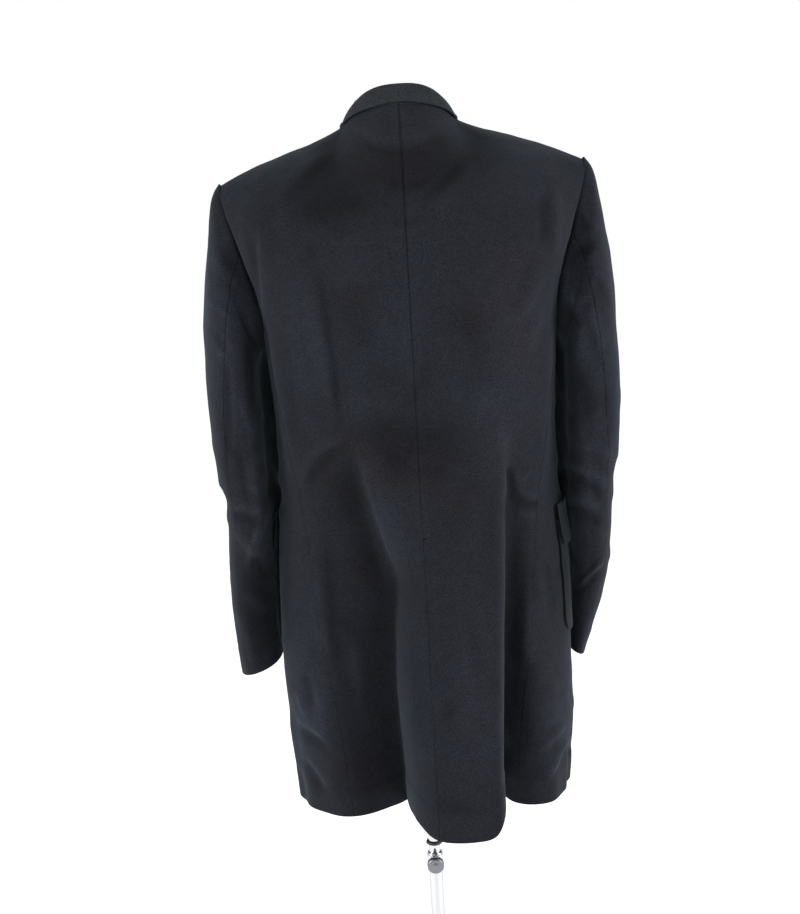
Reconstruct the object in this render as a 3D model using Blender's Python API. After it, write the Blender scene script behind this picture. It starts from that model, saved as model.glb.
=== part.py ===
"""Cotton coat on a limbless dress form with a telescopic stand.

Real size in metres, +Z up. The coat's front faces -Y and the wearer's left is +X. The origin is on the floor,
under the middle of the stand. Every cut piece of the coat is a thin wall of its own, laid on one garment form
that is worked out from the tables below: a row for each level, seam point, fold or sleeve ring.
"""
import math
from collections import namedtuple

import bmesh
import bpy
import numpy as np

# Cloth
CLOTH = 0.0020          # wall of the brushed cotton with its interlining
GAP = 0.0003            # left between pieces that meet at a seam
LAYER = CLOTH + GAP     # how far a piece that lies on another is moved out
CLEAR = 0.0010          # more room under a piece that crosses its panel's facets
HANG = -0.0055          # the coat hangs this far to the wearer's right of the pole
SHOULDER_DROP = 0.017   # height lost per metre towards the wearer's left shoulder
HANG_LOW, HANG_REACH = 1.15, 0.20      # the drop starts here and is whole this far above
SIDES = {"left": 1, "right": -1}

# Levels of the garment form
HEM = 0.592
YOKE = 1.335            # above this the panels turn over the shoulders
ARMHOLE_BOTTOM = 1.200
ARMHOLE_BACK = 22.0     # degrees from the side to the armhole's edge at the yoke
ARMHOLE_FRONT = 26.0
ARMHOLE_TURN = 72.0     # turn of the sleeve's first ring, from the shoulder, that lies above the yoke
BREAK = 1.190           # where the lapels start to turn back
VENT_TOP = 0.965        # below this the right back runs on under the left one
VENT_LAP = 0.090        # how far, as a share of the panel's width
VENT_STEP = 0.002       # half the height in which its edge steps back to the seam
TOP_SHARE = 0.997       # how near a panel comes to the shoulder seam

# Neck and shoulder line
NECK_HALF = 0.066
NECK_BACK = 0.0750
NECK_TOP = 1.4870       # neck seam at the centre back
NECK_POINT = 1.468      # neck seam at the shoulder
NECK_FALL = 0.9         # how late the seam falls between the two
NECK_RISE, NECK_RISE_REACH = 0.0085, 0.014      # the shoulder turns up into the neck
SHOULDER_HALF = 0.230
SHOULDER_SLOPE = 0.20
SHOULDER_BEND = 0.88
SHOULDER_FORWARD = 0.02 # how far the shoulder seam runs forward, as a share of its reach
NECK_SHARE = 0.31       # share of a back panel's top edge that lies on the neck
NECK_IN, NECK_UP = 0.42, 0.88           # how a back panel arrives at the neck seam
BACK_OVER = (0.02, -1.0, 0.05)          # how a back panel arrives at the shoulder seam
NECK_WIDE, NECK_TO_SHOULDER = 0.20, 0.32        # where along the top edge it turns from one to the other
FRONT_AT_NECK = (0.25, 0.75, 0.45)
FRONT_OVER = (0.02, 1.0, 0.05)
FRONT_NECK_WIDE = 0.30
SLOPE_STEP = 0.004      # height over which the slope at the yoke is taken

# Buttons and pockets
BUTTON_HEIGHTS = (1.165, 1.055, 0.945)
BUTTON_DIAMETER = 0.022
BUTTON_THICK = 0.0042
OVERLAP = 6.2           # degrees that each front runs past the centre
UNDERLAP = 2 * LAYER + CLEAR + 3 * GAP      # room for the right lapel's lower end under the left front
UNDERLAP_START, UNDERLAP_REACH = 164.0, 10.0    # degrees over which it opens
UNDERLAP_TOP, UNDERLAP_FADE = 1.250, 0.060      # it closes again above the lapels' overlap
POCKET_REAR, POCKET_FORE = 86.0, 130.0
POCKET_TURN = {"left": 0.0, "right": -21.0}     # the coat is pulled round the hips, so the right one sits back
POCKET_LOW, POCKET_TOP = 0.812, 0.962
FLAP_LOW, FLAP_TOP = 0.928, 0.982

# Stand
BASE_DIAMETER, BASE_THICK = 0.340, 0.010
HUB_DIAMETER, HUB_HEIGHT = 0.054, 0.030
OUTER_TUBE, OUTER_BORE = 0.0190, 0.0168
INNER_TUBE, INNER_BORE = 0.0160, 0.0136
CLAMP_DIAMETER, CLAMP_LOW, CLAMP_TOP = 0.0225, 0.4655, 0.4945
KNOB_HEIGHT = 0.4835
KNOB_DIAMETER, KNOB_THICK = 0.0230, 0.011
STOP_LOW, STOP_TOP, STOP_DIAMETER = 0.5065, 0.5115, 0.0225
INNER_LOW, FORM_LOW = 0.110, 0.880
FLANGE_DIAMETER, FLANGE_THICK = 0.080, 0.006
ROUND = 32              # sides of a small turned piece

Level = namedtuple("Level", "height half back front corner")
COAT = (
    Level(0.592, 0.183, 0.100, 0.150, 2.3),
    Level(0.660, 0.187, 0.104, 0.150, 2.3),
    Level(0.760, 0.190, 0.108, 0.149, 2.3),
    Level(0.900, 0.188, 0.109, 0.146, 2.3),
    Level(1.010, 0.180, 0.112, 0.140, 2.3),
    Level(1.080, 0.178, 0.117, 0.137, 2.35),
    Level(1.160, 0.181, 0.125, 0.140, 2.45),
    Level(1.240, 0.186, 0.130, 0.146, 2.6),
    Level(1.335, 0.214, 0.131, 0.143, 2.6),
)

# The centre of the skirt's back stands out as one deep flare between two valleys.
Flare = namedtuple("Flare", "height left right proud left_valley right_valley")
FLARE = (
    Flare(0.592, 13.5, -27.0, 0.082, 0.045, 0.030),
    Flare(0.650, 13.8, -27.4, 0.069, 0.043, 0.028),
    Flare(0.755, 14.5, -29.0, 0.050, 0.036, 0.025),
    Flare(0.845, 13.0, -31.0, 0.034, 0.028, 0.020),
    Flare(0.910, 11.5, -33.0, 0.021, 0.018, 0.016),
    Flare(0.960, 14.5, -34.0, 0.012, 0.009, 0.011),
    Flare(1.020, 20.0, -35.0, 0.005, 0.004, 0.006),
    Flare(1.090, 26.0, -35.5, 0.000, 0.000, 0.000),
)
FLARE_LEFT_FLANK, FLARE_RIGHT_FLANK = 25.0, 10.0
LEFT_STEEP, RIGHT_STEEP = 3.3, 2.5
VALLEY_LEFT_REACH, VALLEY_RIGHT_REACH = 13.0, 8.0

# The hem rises where the flare turns back into its valleys.
HEM_CORNER, CORNER_HIGH = 0.034, 0.150
Corner = namedtuple("Corner", "angle width share")
HEM_CORNERS = (Corner(-24.5, 5.0, 1.0), Corner(9.0, 5.0, 0.35))

# Other folds: a soft ridge (height above 0) or trough that runs between two points of the form.
Fold = namedtuple("Fold", "low_angle low top_angle top width rise")
FOLDS = (
    Fold(-49.0, 0.58, -47.0, 0.86, 9.0, 0.010),
    Fold(38.0, 0.58, 40.0, 0.88, 9.0, 0.006),
    Fold(72.0, 0.58, 70.0, 0.80, 9.0, -0.006),
    Fold(-78.0, 0.58, -74.0, 0.82, 8.0, -0.006),
    Fold(118.0, 0.58, 112.0, 0.78, 11.0, -0.007),
    Fold(-122.0, 0.58, -114.0, 0.80, 11.0, -0.007),
    Fold(142.0, 0.58, 140.0, 0.84, 12.0, 0.008),
    Fold(-144.0, 0.58, -140.0, 0.82, 12.0, 0.007),
    Fold(55.0, 1.02, 58.0, 1.24, 8.0, 0.004),
    Fold(-56.0, 1.00, -60.0, 1.24, 8.0, 0.004),
)

# Where the seam between a back panel and its side panel runs, as an angle from the centre back.
Seam = namedtuple("Seam", "height angle")
SIDE_BACK_SEAM = (
    Seam(0.592, 34.0),
    Seam(0.720, 36.5),
    Seam(0.850, 42.5),
    Seam(0.940, 46.5),
    Seam(1.014, 52.5),
    Seam(1.100, 60.0),
    Seam(1.180, 68.0),
    Seam(1.240, 74.4),
)
SIDE_FRONT_SEAM = 93.0
SIDE_BACK_TOP = 1.240

# Lapel and collar, on the front panel's own grid: across from the roll line (0) to the armhole (1), and up
# from the yoke level (0) to the shoulder seam (1). Below the yoke a level is a height.
Lapel = namedtuple("Lapel", "inner outer across")
LAPEL = (
    Lapel(1.196, 1.194, 0.03),
    Lapel(1.235, 1.215, 0.13),
    Lapel(1.275, 1.245, 0.22),
    Lapel(1.315, 1.280, 0.30),
    Lapel(YOKE + 0.10, 1.318, 0.37),
    Lapel(YOKE + 0.30, YOKE + 0.06, 0.42),
    Lapel(YOKE + 0.46, YOKE + 0.26, 0.44),
)
Leaf = namedtuple("Leaf", "fold_x fold_y fold_z side across up lift")
LEAF = (
    Leaf(0.0000, 0.0730, 1.5090, "back", 0.000, 0.990, 0.0052),
    Leaf(0.0200, 0.0705, 1.5078, "back", 0.090, 0.988, 0.0052),
    Leaf(0.0365, 0.0615, 1.5025, "back", 0.180, 0.980, 0.0050),
    Leaf(0.0480, 0.0430, 1.4935, "back", 0.258, 0.968, 0.0044),
    Leaf(0.0550, 0.0200, 1.4830, "back", 0.318, 0.962, 0.0044),
    Leaf(0.0580, 0.0000, 1.4750, "front", 0.045, 0.980, 0.0041),
    Leaf(0.0565, -0.0250, 1.4645, "front", 0.120, 0.865, 0.0032),
    Leaf(0.0525, -0.0500, 1.4505, "front", 0.215, 0.735, 0.0034),
    Leaf(0.0495, -0.0720, 1.4355, "front", 0.300, 0.600, 0.0036),
    Leaf(0.0470, -0.0900, 1.4210, "front", 0.350, 0.500, 0.0036),
)
LEAF_THICK = CLOTH * 1.2
BEND_OUT, BEND_UP = 0.007, 0.0015       # how far the leaf swings out as it turns over the stand
STAND_SWELL = 0.001
ROLL_REACH = 5.6        # panel levels per metre that the stand's foot follows down the roll line

# Sleeve rings from the armhole to the cuff: outer and inner point of each ring, half depth, forward shift, how
# far its rear leans towards the body, and where the back seam lies.
Ring = namedtuple("Ring", "outer_x outer_z inner_x inner_z depth forward lean back_seam")
SLEEVE_HEAD = (
    Ring(0.2375, 1.3880, 0.1905, 1.1930, 0.0570, 0.000, 0.000, 89.0),
    Ring(0.2435, 1.3560, 0.1925, 1.1860, 0.0630, 0.000, 0.006, 90.0),
    Ring(0.2500, 1.3120, 0.1940, 1.1760, 0.0690, 0.001, 0.014, 88.0),
    Ring(0.2560, 1.2620, 0.1945, 1.1600, 0.0730, 0.002, 0.022, 86.0),
    Ring(0.2605, 1.2000, 0.1945, 1.1360, 0.0750, 0.004, 0.028, 82.0),
    Ring(0.2625, 1.1300, 0.1940, 1.0980, 0.0740, 0.006, 0.030, 76.0),
    Ring(0.2590, 1.0500, 0.1945, 1.0380, 0.0700, 0.009, 0.028, 69.0),
    Ring(0.2500, 0.9830, 0.1940, 0.9800, 0.0660, 0.014, 0.024, 64.0),
)
SLEEVE_END = {
    "left": (
        Ring(0.2545, 0.9150, 0.1960, 0.9180, 0.0620, 0.022, 0.018, 63.0),
        Ring(0.2555, 0.8420, 0.1965, 0.8500, 0.0580, 0.032, 0.012, 64.0),
        Ring(0.2515, 0.7590, 0.1955, 0.7790, 0.0540, 0.042, 0.008, 66.0),
    ),
    "right": (
        Ring(0.2475, 0.9250, 0.1975, 0.9250, 0.0630, 0.022, 0.016, 61.0),
        Ring(0.2405, 0.8500, 0.1955, 0.8530, 0.0590, 0.042, 0.012, 60.0),
        Ring(0.2140, 0.7560, 0.1895, 0.7660, 0.0545, 0.066, 0.006, 62.0),
    ),
}
SLEEVE_FRONT_SEAM = 240.0
SLEEVE_CORNER = 2.2
SEAM_RADIUS = 0.042     # the sleeve's radius where its seams are cut
HEAD_LEAVE = 0.8        # how far the sleeve head swings out of the armhole
HEAD_GAP = 5 * GAP      # left between the sleeve head and the coat's body
FIRST_BACK_SEAM = 80.0  # turn of the back seam where it leaves the armhole
LEAN_START, LEAN_REACH = 0.2, 1.2

FORM = (
    Level(0.880, 0.132, 0.062, 0.084, 2.2),
    Level(0.884, 0.142, 0.070, 0.092, 2.2),
    Level(0.896, 0.150, 0.076, 0.098, 2.2),
    Level(0.940, 0.152, 0.078, 0.102, 2.2),
    Level(1.000, 0.146, 0.078, 0.102, 2.2),
    Level(1.080, 0.140, 0.078, 0.100, 2.2),
    Level(1.180, 0.150, 0.090, 0.108, 2.25),
    Level(1.260, 0.162, 0.100, 0.114, 2.3),
    Level(1.330, 0.166, 0.099, 0.110, 2.3),
    Level(1.375, 0.156, 0.088, 0.098, 2.3),
    Level(1.405, 0.104, 0.069, 0.072, 2.2),
    Level(1.425, 0.070, 0.059, 0.055, 2.1),
    Level(1.442, 0.056, 0.055, 0.048, 2.0),
    Level(1.462, 0.050, 0.053, 0.045, 2.0),
    Level(1.488, 0.047, 0.051, 0.044, 2.0),
)
FORM_SIDES = 28
NECK_CAP = 0.007

Finish = namedtuple("Finish", "colour roughness metallic")
NAVY = Finish((0.024, 0.028, 0.036), 0.92, 0.0)
COLLAR_NAVY = Finish((0.026, 0.031, 0.036), 0.88, 0.0)
HORN = Finish((0.020, 0.018, 0.018), 0.35, 0.0)
JERSEY = Finish((0.030, 0.030, 0.032), 0.90, 0.0)
CHROME = Finish((0.80, 0.81, 0.82), 0.12, 1.0)
BLACK_PLASTIC = Finish((0.020, 0.020, 0.022), 0.45, 0.0)


def start_empty():
    for thing in list(bpy.data.objects):
        bpy.data.objects.remove(thing, do_unlink=True)


def material(name, finish):
    made = bpy.data.materials.get(name)
    if made is None:
        made = bpy.data.materials.new(name)
        made.use_nodes = True
        shader = made.node_tree.nodes["Principled BSDF"]
        shader.inputs["Base Color"].default_value = (*finish.colour, 1.0)
        shader.inputs["Roughness"].default_value = finish.roughness
        shader.inputs["Metallic"].default_value = finish.metallic
    return made


def along(table, column, at):
    """One column of a table at a height, on a smooth curve through its rows."""
    heights = np.array([row.height for row in table])
    values = np.array([getattr(row, column) for row in table])
    slopes = np.gradient(values, heights)
    at = min(max(at, heights[0]), heights[-1])
    i = int(np.clip(np.searchsorted(heights, at) - 1, 0, len(heights) - 2))
    span = heights[i + 1] - heights[i]
    t = (at - heights[i]) / span
    return hermite(values[i], slopes[i] * span, values[i + 1], slopes[i + 1] * span, t)


def hermite(start, leave, end, arrive, t):
    """A cubic from start to end with the given tangents at both."""
    return (
        start * (1 + 2 * t) * (1 - t) ** 2
        + leave * t * (1 - t) ** 2
        + end * t * t * (3 - 2 * t)
        + arrive * t * t * (t - 1)
    )


def ease(t):
    t = min(max(t, 0.0), 1.0)
    return t * t * (3 - 2 * t)


def oval(table, angle, height):
    """A point of a level's rounded oval and the direction out of it. Angle 0 is the centre back."""
    s, c = math.sin(math.radians(angle)), math.cos(math.radians(angle))
    corner = along(table, "corner", height)
    half = along(table, "half", height)
    depth = along(table, "back" if c > 0 else "front", height)
    stretch = (abs(s) ** corner + abs(c) ** corner) ** (-1 / corner)
    x, y = half * s * stretch, depth * c * stretch
    out = np.array([x / half**2, y / depth**2, 0.0])
    return np.array([x, y, height]), out / np.linalg.norm(out)


def flare_rise(angle, height):
    left, right = along(FLARE, "left", height), along(FLARE, "right", height)
    to_left = 1 - (1 - min(max((left - angle) / FLARE_LEFT_FLANK, 0.0), 1.0)) ** LEFT_STEEP
    to_right = 1 - (1 - min(max((angle - right) / FLARE_RIGHT_FLANK, 0.0), 1.0)) ** RIGHT_STEEP
    crown = min(to_left, to_right)
    if angle > (left + right) / 2:
        past = max(angle - left, 0.0) / VALLEY_LEFT_REACH
        valley = along(FLARE, "left_valley", height)
    else:
        past = max(right - angle, 0.0) / VALLEY_RIGHT_REACH
        valley = along(FLARE, "right_valley", height)
    return along(FLARE, "proud", height) * crown - valley * (1 - crown) * math.exp(-past * past)


def fold_rise(angle, height):
    rise = 0.0
    for fold in FOLDS:
        share = (height - fold.low) / (fold.top - fold.low)
        centre = fold.low_angle + (fold.top_angle - fold.low_angle) * share
        strength = 1 - ease(share) if fold.top < YOKE - 0.15 else ease(4 * share) * ease(4 * (1 - share))
        rise += fold.rise * strength * math.exp(-(((angle - centre) / fold.width) ** 2))
    return rise


def hem_lift(angle, height):
    rise = sum(c.share * math.exp(-(((angle - c.angle) / c.width) ** 2)) for c in HEM_CORNERS)
    return HEM_CORNER * rise * (1 - ease((height - HEM) / CORNER_HIGH))


def skin(angle, height):
    """The coat's outer surface below the yoke."""
    point, out = oval(COAT, angle, height)
    turned = (angle + 180.0) % 360.0 - 180.0
    point = point + out * (flare_rise(turned, height) + fold_rise(turned, height))
    return point + np.array([0.0, 0.0, hem_lift(turned, height)])


def armhole_angle(height, reach):
    """How far from the side the armhole's edge is at a height below the yoke."""
    drop = (YOKE - height) / (YOKE - ARMHOLE_BOTTOM)
    return reach * math.sqrt(max(1 - drop * drop, 0.0))


def armhole_height(angle):
    reach = ARMHOLE_BACK if angle < 90 else ARMHOLE_FRONT
    drop = math.sqrt(max(1 - ((angle - 90) / reach) ** 2, 0.0))
    return YOKE - (YOKE - ARMHOLE_BOTTOM) * drop


def shoulder_line(x):
    reach = x - NECK_HALF
    hollow = NECK_RISE * (1 - math.exp(-reach / NECK_RISE_REACH))
    height = NECK_POINT - hollow - SHOULDER_SLOPE * reach - SHOULDER_BEND * reach * reach
    return np.array([x, -SHOULDER_FORWARD * reach, height])


def shoulder_out(x, hand):
    """Direction out of the shoulder seam, shared by the two panels that meet there."""
    reach = x - NECK_HALF
    hollow = NECK_RISE / NECK_RISE_REACH * math.exp(-reach / NECK_RISE_REACH)
    out = np.array([hand * (hollow + SHOULDER_SLOPE + 2 * SHOULDER_BEND * reach), 0.0, 1.0])
    return out / np.linalg.norm(out)


def top_edge(across):
    """A back panel's top edge, from the centre back round the neck and along the shoulder."""
    if across < NECK_SHARE:
        turn = math.pi / 2 * across / NECK_SHARE
        fall = (NECK_TOP - NECK_POINT) * (1 - math.cos(turn)) ** NECK_FALL
        return np.array([NECK_HALF * math.sin(turn), NECK_BACK * math.cos(turn), NECK_TOP - fall])
    share = (across - NECK_SHARE) / (1 - NECK_SHARE)
    return shoulder_line(NECK_HALF + (SHOULDER_HALF - NECK_HALF) * share)


def roll_line(height):
    """Angle of the line where the lapel turns back. Below the break it is the front's edge."""
    edge = math.sin(math.radians(OVERLAP)) * along(COAT, "half", BREAK)
    rise = max(height - BREAK, 0.0) / (NECK_POINT - BREAK)
    x = -edge + (NECK_HALF + edge) * rise
    return 180.0 - math.degrees(math.asin(x / along(COAT, "half", height)))


def back_edge(height):
    if height < SIDE_BACK_TOP:
        return along(SIDE_BACK_SEAM, "angle", height)
    return 90.0 - armhole_angle(height, ARMHOLE_BACK)


def front_edge(height):
    meets = armhole_height(SIDE_FRONT_SEAM)
    return SIDE_FRONT_SEAM if height < meets else 90.0 + armhole_angle(height, ARMHOLE_FRONT)


def back_point(across, level, hand=1):
    """A point of a back panel. Levels over the yoke are YOKE plus the share up to the shoulder."""
    def column(height):
        return skin(hand * across * back_edge(height), height)

    if level <= YOKE:
        return column(level)
    start, end = column(YOKE), top_edge(across) * (hand, 1, 1)
    reach = np.linalg.norm(end - start)
    leave = start - column(YOKE - SLOPE_STEP)
    over = ease((across - NECK_WIDE) / NECK_TO_SHOULDER)
    turn = math.pi / 2 * min(across / NECK_SHARE, 1.0)
    at_neck = np.array([-NECK_IN * math.sin(turn), -NECK_IN * math.cos(turn), NECK_UP])
    arrive = (at_neck * (1 - over) + np.array(BACK_OVER) * over) * (hand, 1, 1)
    leave = leave / np.linalg.norm(leave)
    return hermite(start, leave * reach, end, arrive * reach, level - YOKE)


def front_point(across, level, hand=1):
    """A point of a front panel, from the roll line to the armhole. The wearer's right goes under the left."""
    def column(height):
        angle = roll_line(height) + (front_edge(height) - roll_line(height)) * across
        under = 0.0
        if hand < 0:
            opening = 1 - ease((height - UNDERLAP_TOP) / UNDERLAP_FADE)
            under = UNDERLAP * ease((angle - UNDERLAP_START) / UNDERLAP_REACH) * opening
        return skin(hand * angle, height) - oval(COAT, hand * angle, height)[1] * under

    if level <= YOKE:
        return column(level)
    start = column(YOKE)
    end = shoulder_line(NECK_HALF + (SHOULDER_HALF - NECK_HALF) * across) * (hand, 1, 1)
    reach = np.linalg.norm(end - start)
    leave = start - column(YOKE - SLOPE_STEP)
    leave = leave / np.linalg.norm(leave)
    over = ease(across / FRONT_NECK_WIDE)
    arrive = np.array(FRONT_AT_NECK) * (1 - over) + np.array(FRONT_OVER) * over
    return hermite(start, leave * reach, end, arrive * (hand, 1, 1) * reach, level - YOKE)


def hung(point):
    """Puts a point of the garment form where the coat hangs on its pole."""
    drop = SHOULDER_DROP * ease((point[2] - HANG_LOW) / HANG_REACH) * point[0]
    return point + np.array([HANG, 0.0, -drop])


def normals(grid):
    """Directions out of a grid of points whose middle faces backwards."""
    out = np.cross(np.gradient(grid, axis=0), np.gradient(grid, axis=1))
    out = out / np.linalg.norm(out, axis=2, keepdims=True)
    return out if out[out.shape[0] // 2, out.shape[1] // 2, 1] > 0 else -out


def sheet(point, rows, columns, facing=1):
    """Samples point(across, level) and the true direction out of it at each node of a grid."""
    step = 0.002
    points = np.array([[hung(point(a, r)) for a in columns] for r in rows])
    out = []
    for r in rows:
        line = []
        for a in columns:
            across = hung(point(a + step, r)) - hung(point(a - step, r))
            up = hung(point(a, r)) - hung(point(a, r - step))
            normal = np.cross(up, across) * facing
            line.append(normal / np.linalg.norm(normal))
        out.append(line)
    return points, np.array(out)


def add_object(name, mesh, finish_name, finish, smooth=True):
    thing = bpy.data.objects.new(name, mesh)
    bpy.context.scene.collection.objects.link(thing)
    mesh.materials.append(material(finish_name, finish))
    if smooth:
        mesh.shade_smooth()
        mesh.set_sharp_from_angle(angle=math.radians(40))
    return thing


def wall(name, outer, inner, finish_name="navy_cotton", finish=NAVY):
    """Closes two grids of points, an outer and an inner face of cloth, into one piece."""
    rows, columns = outer.shape[:2]
    bm = bmesh.new()
    front = [[bm.verts.new(p) for p in row] for row in outer]
    back = [[bm.verts.new(p) for p in row] for row in inner]
    for r in range(rows - 1):
        for c in range(columns - 1):
            bm.faces.new((front[r][c], front[r][c + 1], front[r + 1][c + 1], front[r + 1][c]))
            bm.faces.new((back[r][c], back[r + 1][c], back[r + 1][c + 1], back[r][c + 1]))
    rim = [(0, c) for c in range(columns)] + [(r, columns - 1) for r in range(1, rows)]
    rim += [(rows - 1, c) for c in range(columns - 2, -1, -1)] + [(r, 0) for r in range(rows - 2, 0, -1)]
    for (r0, c0), (r1, c1) in zip(rim, rim[1:] + rim[:1]):
        bm.faces.new((front[r0][c0], back[r0][c0], back[r1][c1], front[r1][c1]))
    bmesh.ops.recalc_face_normals(bm, faces=bm.faces)
    if bm.calc_volume(signed=True) < 0:
        bmesh.ops.reverse_faces(bm, faces=bm.faces)
    mesh = bpy.data.meshes.new(name)
    bm.to_mesh(mesh)
    bm.free()
    return add_object(name, mesh, finish_name, finish)


def cloth(name, points, out, lift=0.0, thick=CLOTH, **finish):
    return wall(name, points + out * lift, points + out * (lift - thick), **finish)


def spread(start, end, count):
    return list(np.linspace(start, end, count))


def body_rows(above, step=None):
    """Levels from the hem to the shoulder, with a close pair where the panel's edge steps."""
    levels = spread(HEM, YOKE, 17)
    if step:
        levels = sorted([z for z in levels if abs(z - step) > 0.012] + [step - VENT_STEP, step + VENT_STEP])
    return levels + [YOKE + TOP_SHARE * i / above for i in range(1, above + 1)]


def make_backs():
    shut = GAP / 2 / 0.19
    seam, lap = [0.0, 0.010, 0.020, 0.035], [-VENT_LAP, -VENT_LAP / 2, 0.0, 0.035]
    panel = spread(NECK_SHARE / 4, NECK_SHARE, 4) + spread(NECK_SHARE, 1.0, 8)[1:]
    rows = body_rows(7, VENT_TOP)

    def column(share, level, side):
        """Across the panel. Below the vent's top the right back's first columns run on under the left back."""
        if share < len(seam) - 1:
            i, edge = int(share), lap if side == "right" and level < VENT_TOP else seam
            return edge[i] + (edge[i + 1] - edge[i]) * (share - i)
        places = [seam[-1]] + panel
        i = min(int(share) - len(seam) + 1, len(places) - 2)
        return places[i] + (places[i + 1] - places[i]) * (share - len(seam) + 1 - i)

    for side, hand in SIDES.items():
        def point(share, level):
            return back_point(shut + column(share, level, side) * (1 - 2 * shut), level, hand)

        count = len(seam) + len(panel)
        points, out = sheet(point, rows, range(count), hand)
        for c in range(count):
            across = column(c, rows[-1], side)
            if across > NECK_SHARE - 0.01:
                out[-1, c] = shoulder_out(abs(points[-1, c, 0] - HANG), hand)
        lift = np.zeros((len(rows), count, 1))
        if side == "right":
            lift[: rows.index(VENT_TOP + VENT_STEP) + 1, : len(seam) - 1] = -(LAYER + CLEAR)
        cloth(f"back_{side}", points, out, lift=lift)


def make_side_panels():
    shut = GAP / 2 / 0.09

    def panel_point(across, level, hand):
        height = HEM + (column_top(across) - HEM) * level
        start = back_edge(min(height, SIDE_BACK_TOP))
        return skin(hand * (start + (SIDE_FRONT_SEAM - start) * across), height)

    def column_top(across):
        height = ARMHOLE_BOTTOM
        for _ in range(12):
            start = back_edge(min(height, SIDE_BACK_TOP))
            height = armhole_height(start + (SIDE_FRONT_SEAM - start) * across)
        return height

    for side, hand in SIDES.items():
        columns = spread(shut, 1 - shut, 6)
        points, out = sheet(lambda a, r: panel_point(a, r, hand), spread(0.0, 1.0, 15), columns, hand)
        cloth(f"side_{side}", points, out)


def make_fronts():
    shut = GAP / 2 / 0.20
    for side, hand in SIDES.items():
        columns = [0.0, 0.06, 0.13] + spread(0.20, 1 - shut, 10)
        points, out = sheet(lambda a, r: front_point(a, r, hand), body_rows(6), columns, -hand)
        out[-1] = [shoulder_out(abs(point[0] - HANG), hand) for point in points[-1]]
        cloth(f"front_{side}", points, out)


def lapel_point(share, row, hand):
    """A point of a lapel on the front panel: share 0 is the roll line and 1 the lapel's outer edge."""
    row = min(max(row, 0.0), len(LAPEL) - 1.0)
    i = min(int(row), len(LAPEL) - 2)
    low, high = LAPEL[i], LAPEL[i + 1]
    inner, outer, across = (a + (b - a) * (row - i) for a, b in zip(low, high))
    return front_point(across * share, inner + (outer - inner) * share, hand)


def make_lapels():
    for side, hand in SIDES.items():
        rows, columns = spread(0.02, len(LAPEL) - 1.0, 10), spread(0.0, 1.0, 5)
        points, out = sheet(lambda a, r: lapel_point(a, r, hand), rows, columns, -hand)
        cloth(f"lapel_{side}", points, out, lift=LAYER + CLEAR)


def collar_stations():
    """The fold and the outer edge of the collar's leaf, from the wearer's right end to the left."""
    half = []
    for leaf in LEAF:
        source, facing = (back_point, 1) if leaf.side == "back" else (front_point, -1)
        step, level = 0.01, YOKE + leaf.up
        here = source(leaf.across, level)
        across = source(leaf.across + step, level) - here
        out = np.cross(here - source(leaf.across, level - step), across) * facing
        out = out / np.linalg.norm(out)
        fold = np.array([leaf.fold_x, leaf.fold_y, leaf.fold_z])
        half.append((fold, here + out * (leaf.lift + LAYER)))
    over = np.array([-1, 1, 1])
    return [(fold * over, edge * over) for fold, edge in half[:0:-1]] + half


def make_collar():
    stations = collar_stations()
    rows = []
    for fold, edge in stations:
        away = np.array([fold[0], fold[1], 0.0])
        away = away / max(np.linalg.norm(away), 1e-6)
        bend = fold + away * BEND_OUT + np.array([0.0, 0.0, BEND_UP])
        line = [
            fold * (1 - t) ** 2 + bend * 2 * t * (1 - t) + edge * t * t for t in (0.0, 0.18, 0.42, 0.70, 1.0)
        ]
        rows.append([hung(p) for p in line])
    leaf = np.array(rows)
    cloth("collar_leaf", leaf, normals(leaf), thick=LEAF_THICK, finish_name="collar_cotton", finish=COLLAR_NAVY)

    bands = []
    for fold, _ in stations[3:-3]:
        foot = neck_foot(fold)
        under = fold - np.array([0.0, 0.0, LEAF_THICK + 3 * GAP])
        away = np.array([fold[0], fold[1], 0.0]) / np.linalg.norm(fold[:2])
        line = [foot + (under - foot) * t + away * STAND_SWELL * math.sin(math.pi * t) for t in (0.0, 0.5, 1.0)]
        bands.append([hung(p) for p in line])
    stand = np.array(bands)
    cloth("collar_stand", stand, normals(stand), finish_name="collar_cotton", finish=COLLAR_NAVY)


def neck_foot(fold):
    """The point of the neck seam under a point of the collar's fold, just above and inside it."""
    side = 1.0 if fold[0] >= 0 else -1.0
    if fold[1] > 0:
        turn = math.atan2(abs(fold[0]) / NECK_HALF, fold[1] / NECK_BACK)
        seam = top_edge(NECK_SHARE * min(turn / (math.pi / 2), 0.999))
    else:
        seam = front_point(0.0, YOKE + 1.0 + fold[1] * ROLL_REACH)
    seam = np.array([seam[0] * side, seam[1], seam[2]])
    inward = np.array([seam[0], seam[1], 0.0]) / np.linalg.norm(seam[:2])
    return seam - inward * LAYER + np.array([0.0, 0.0, 4 * GAP])


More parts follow.
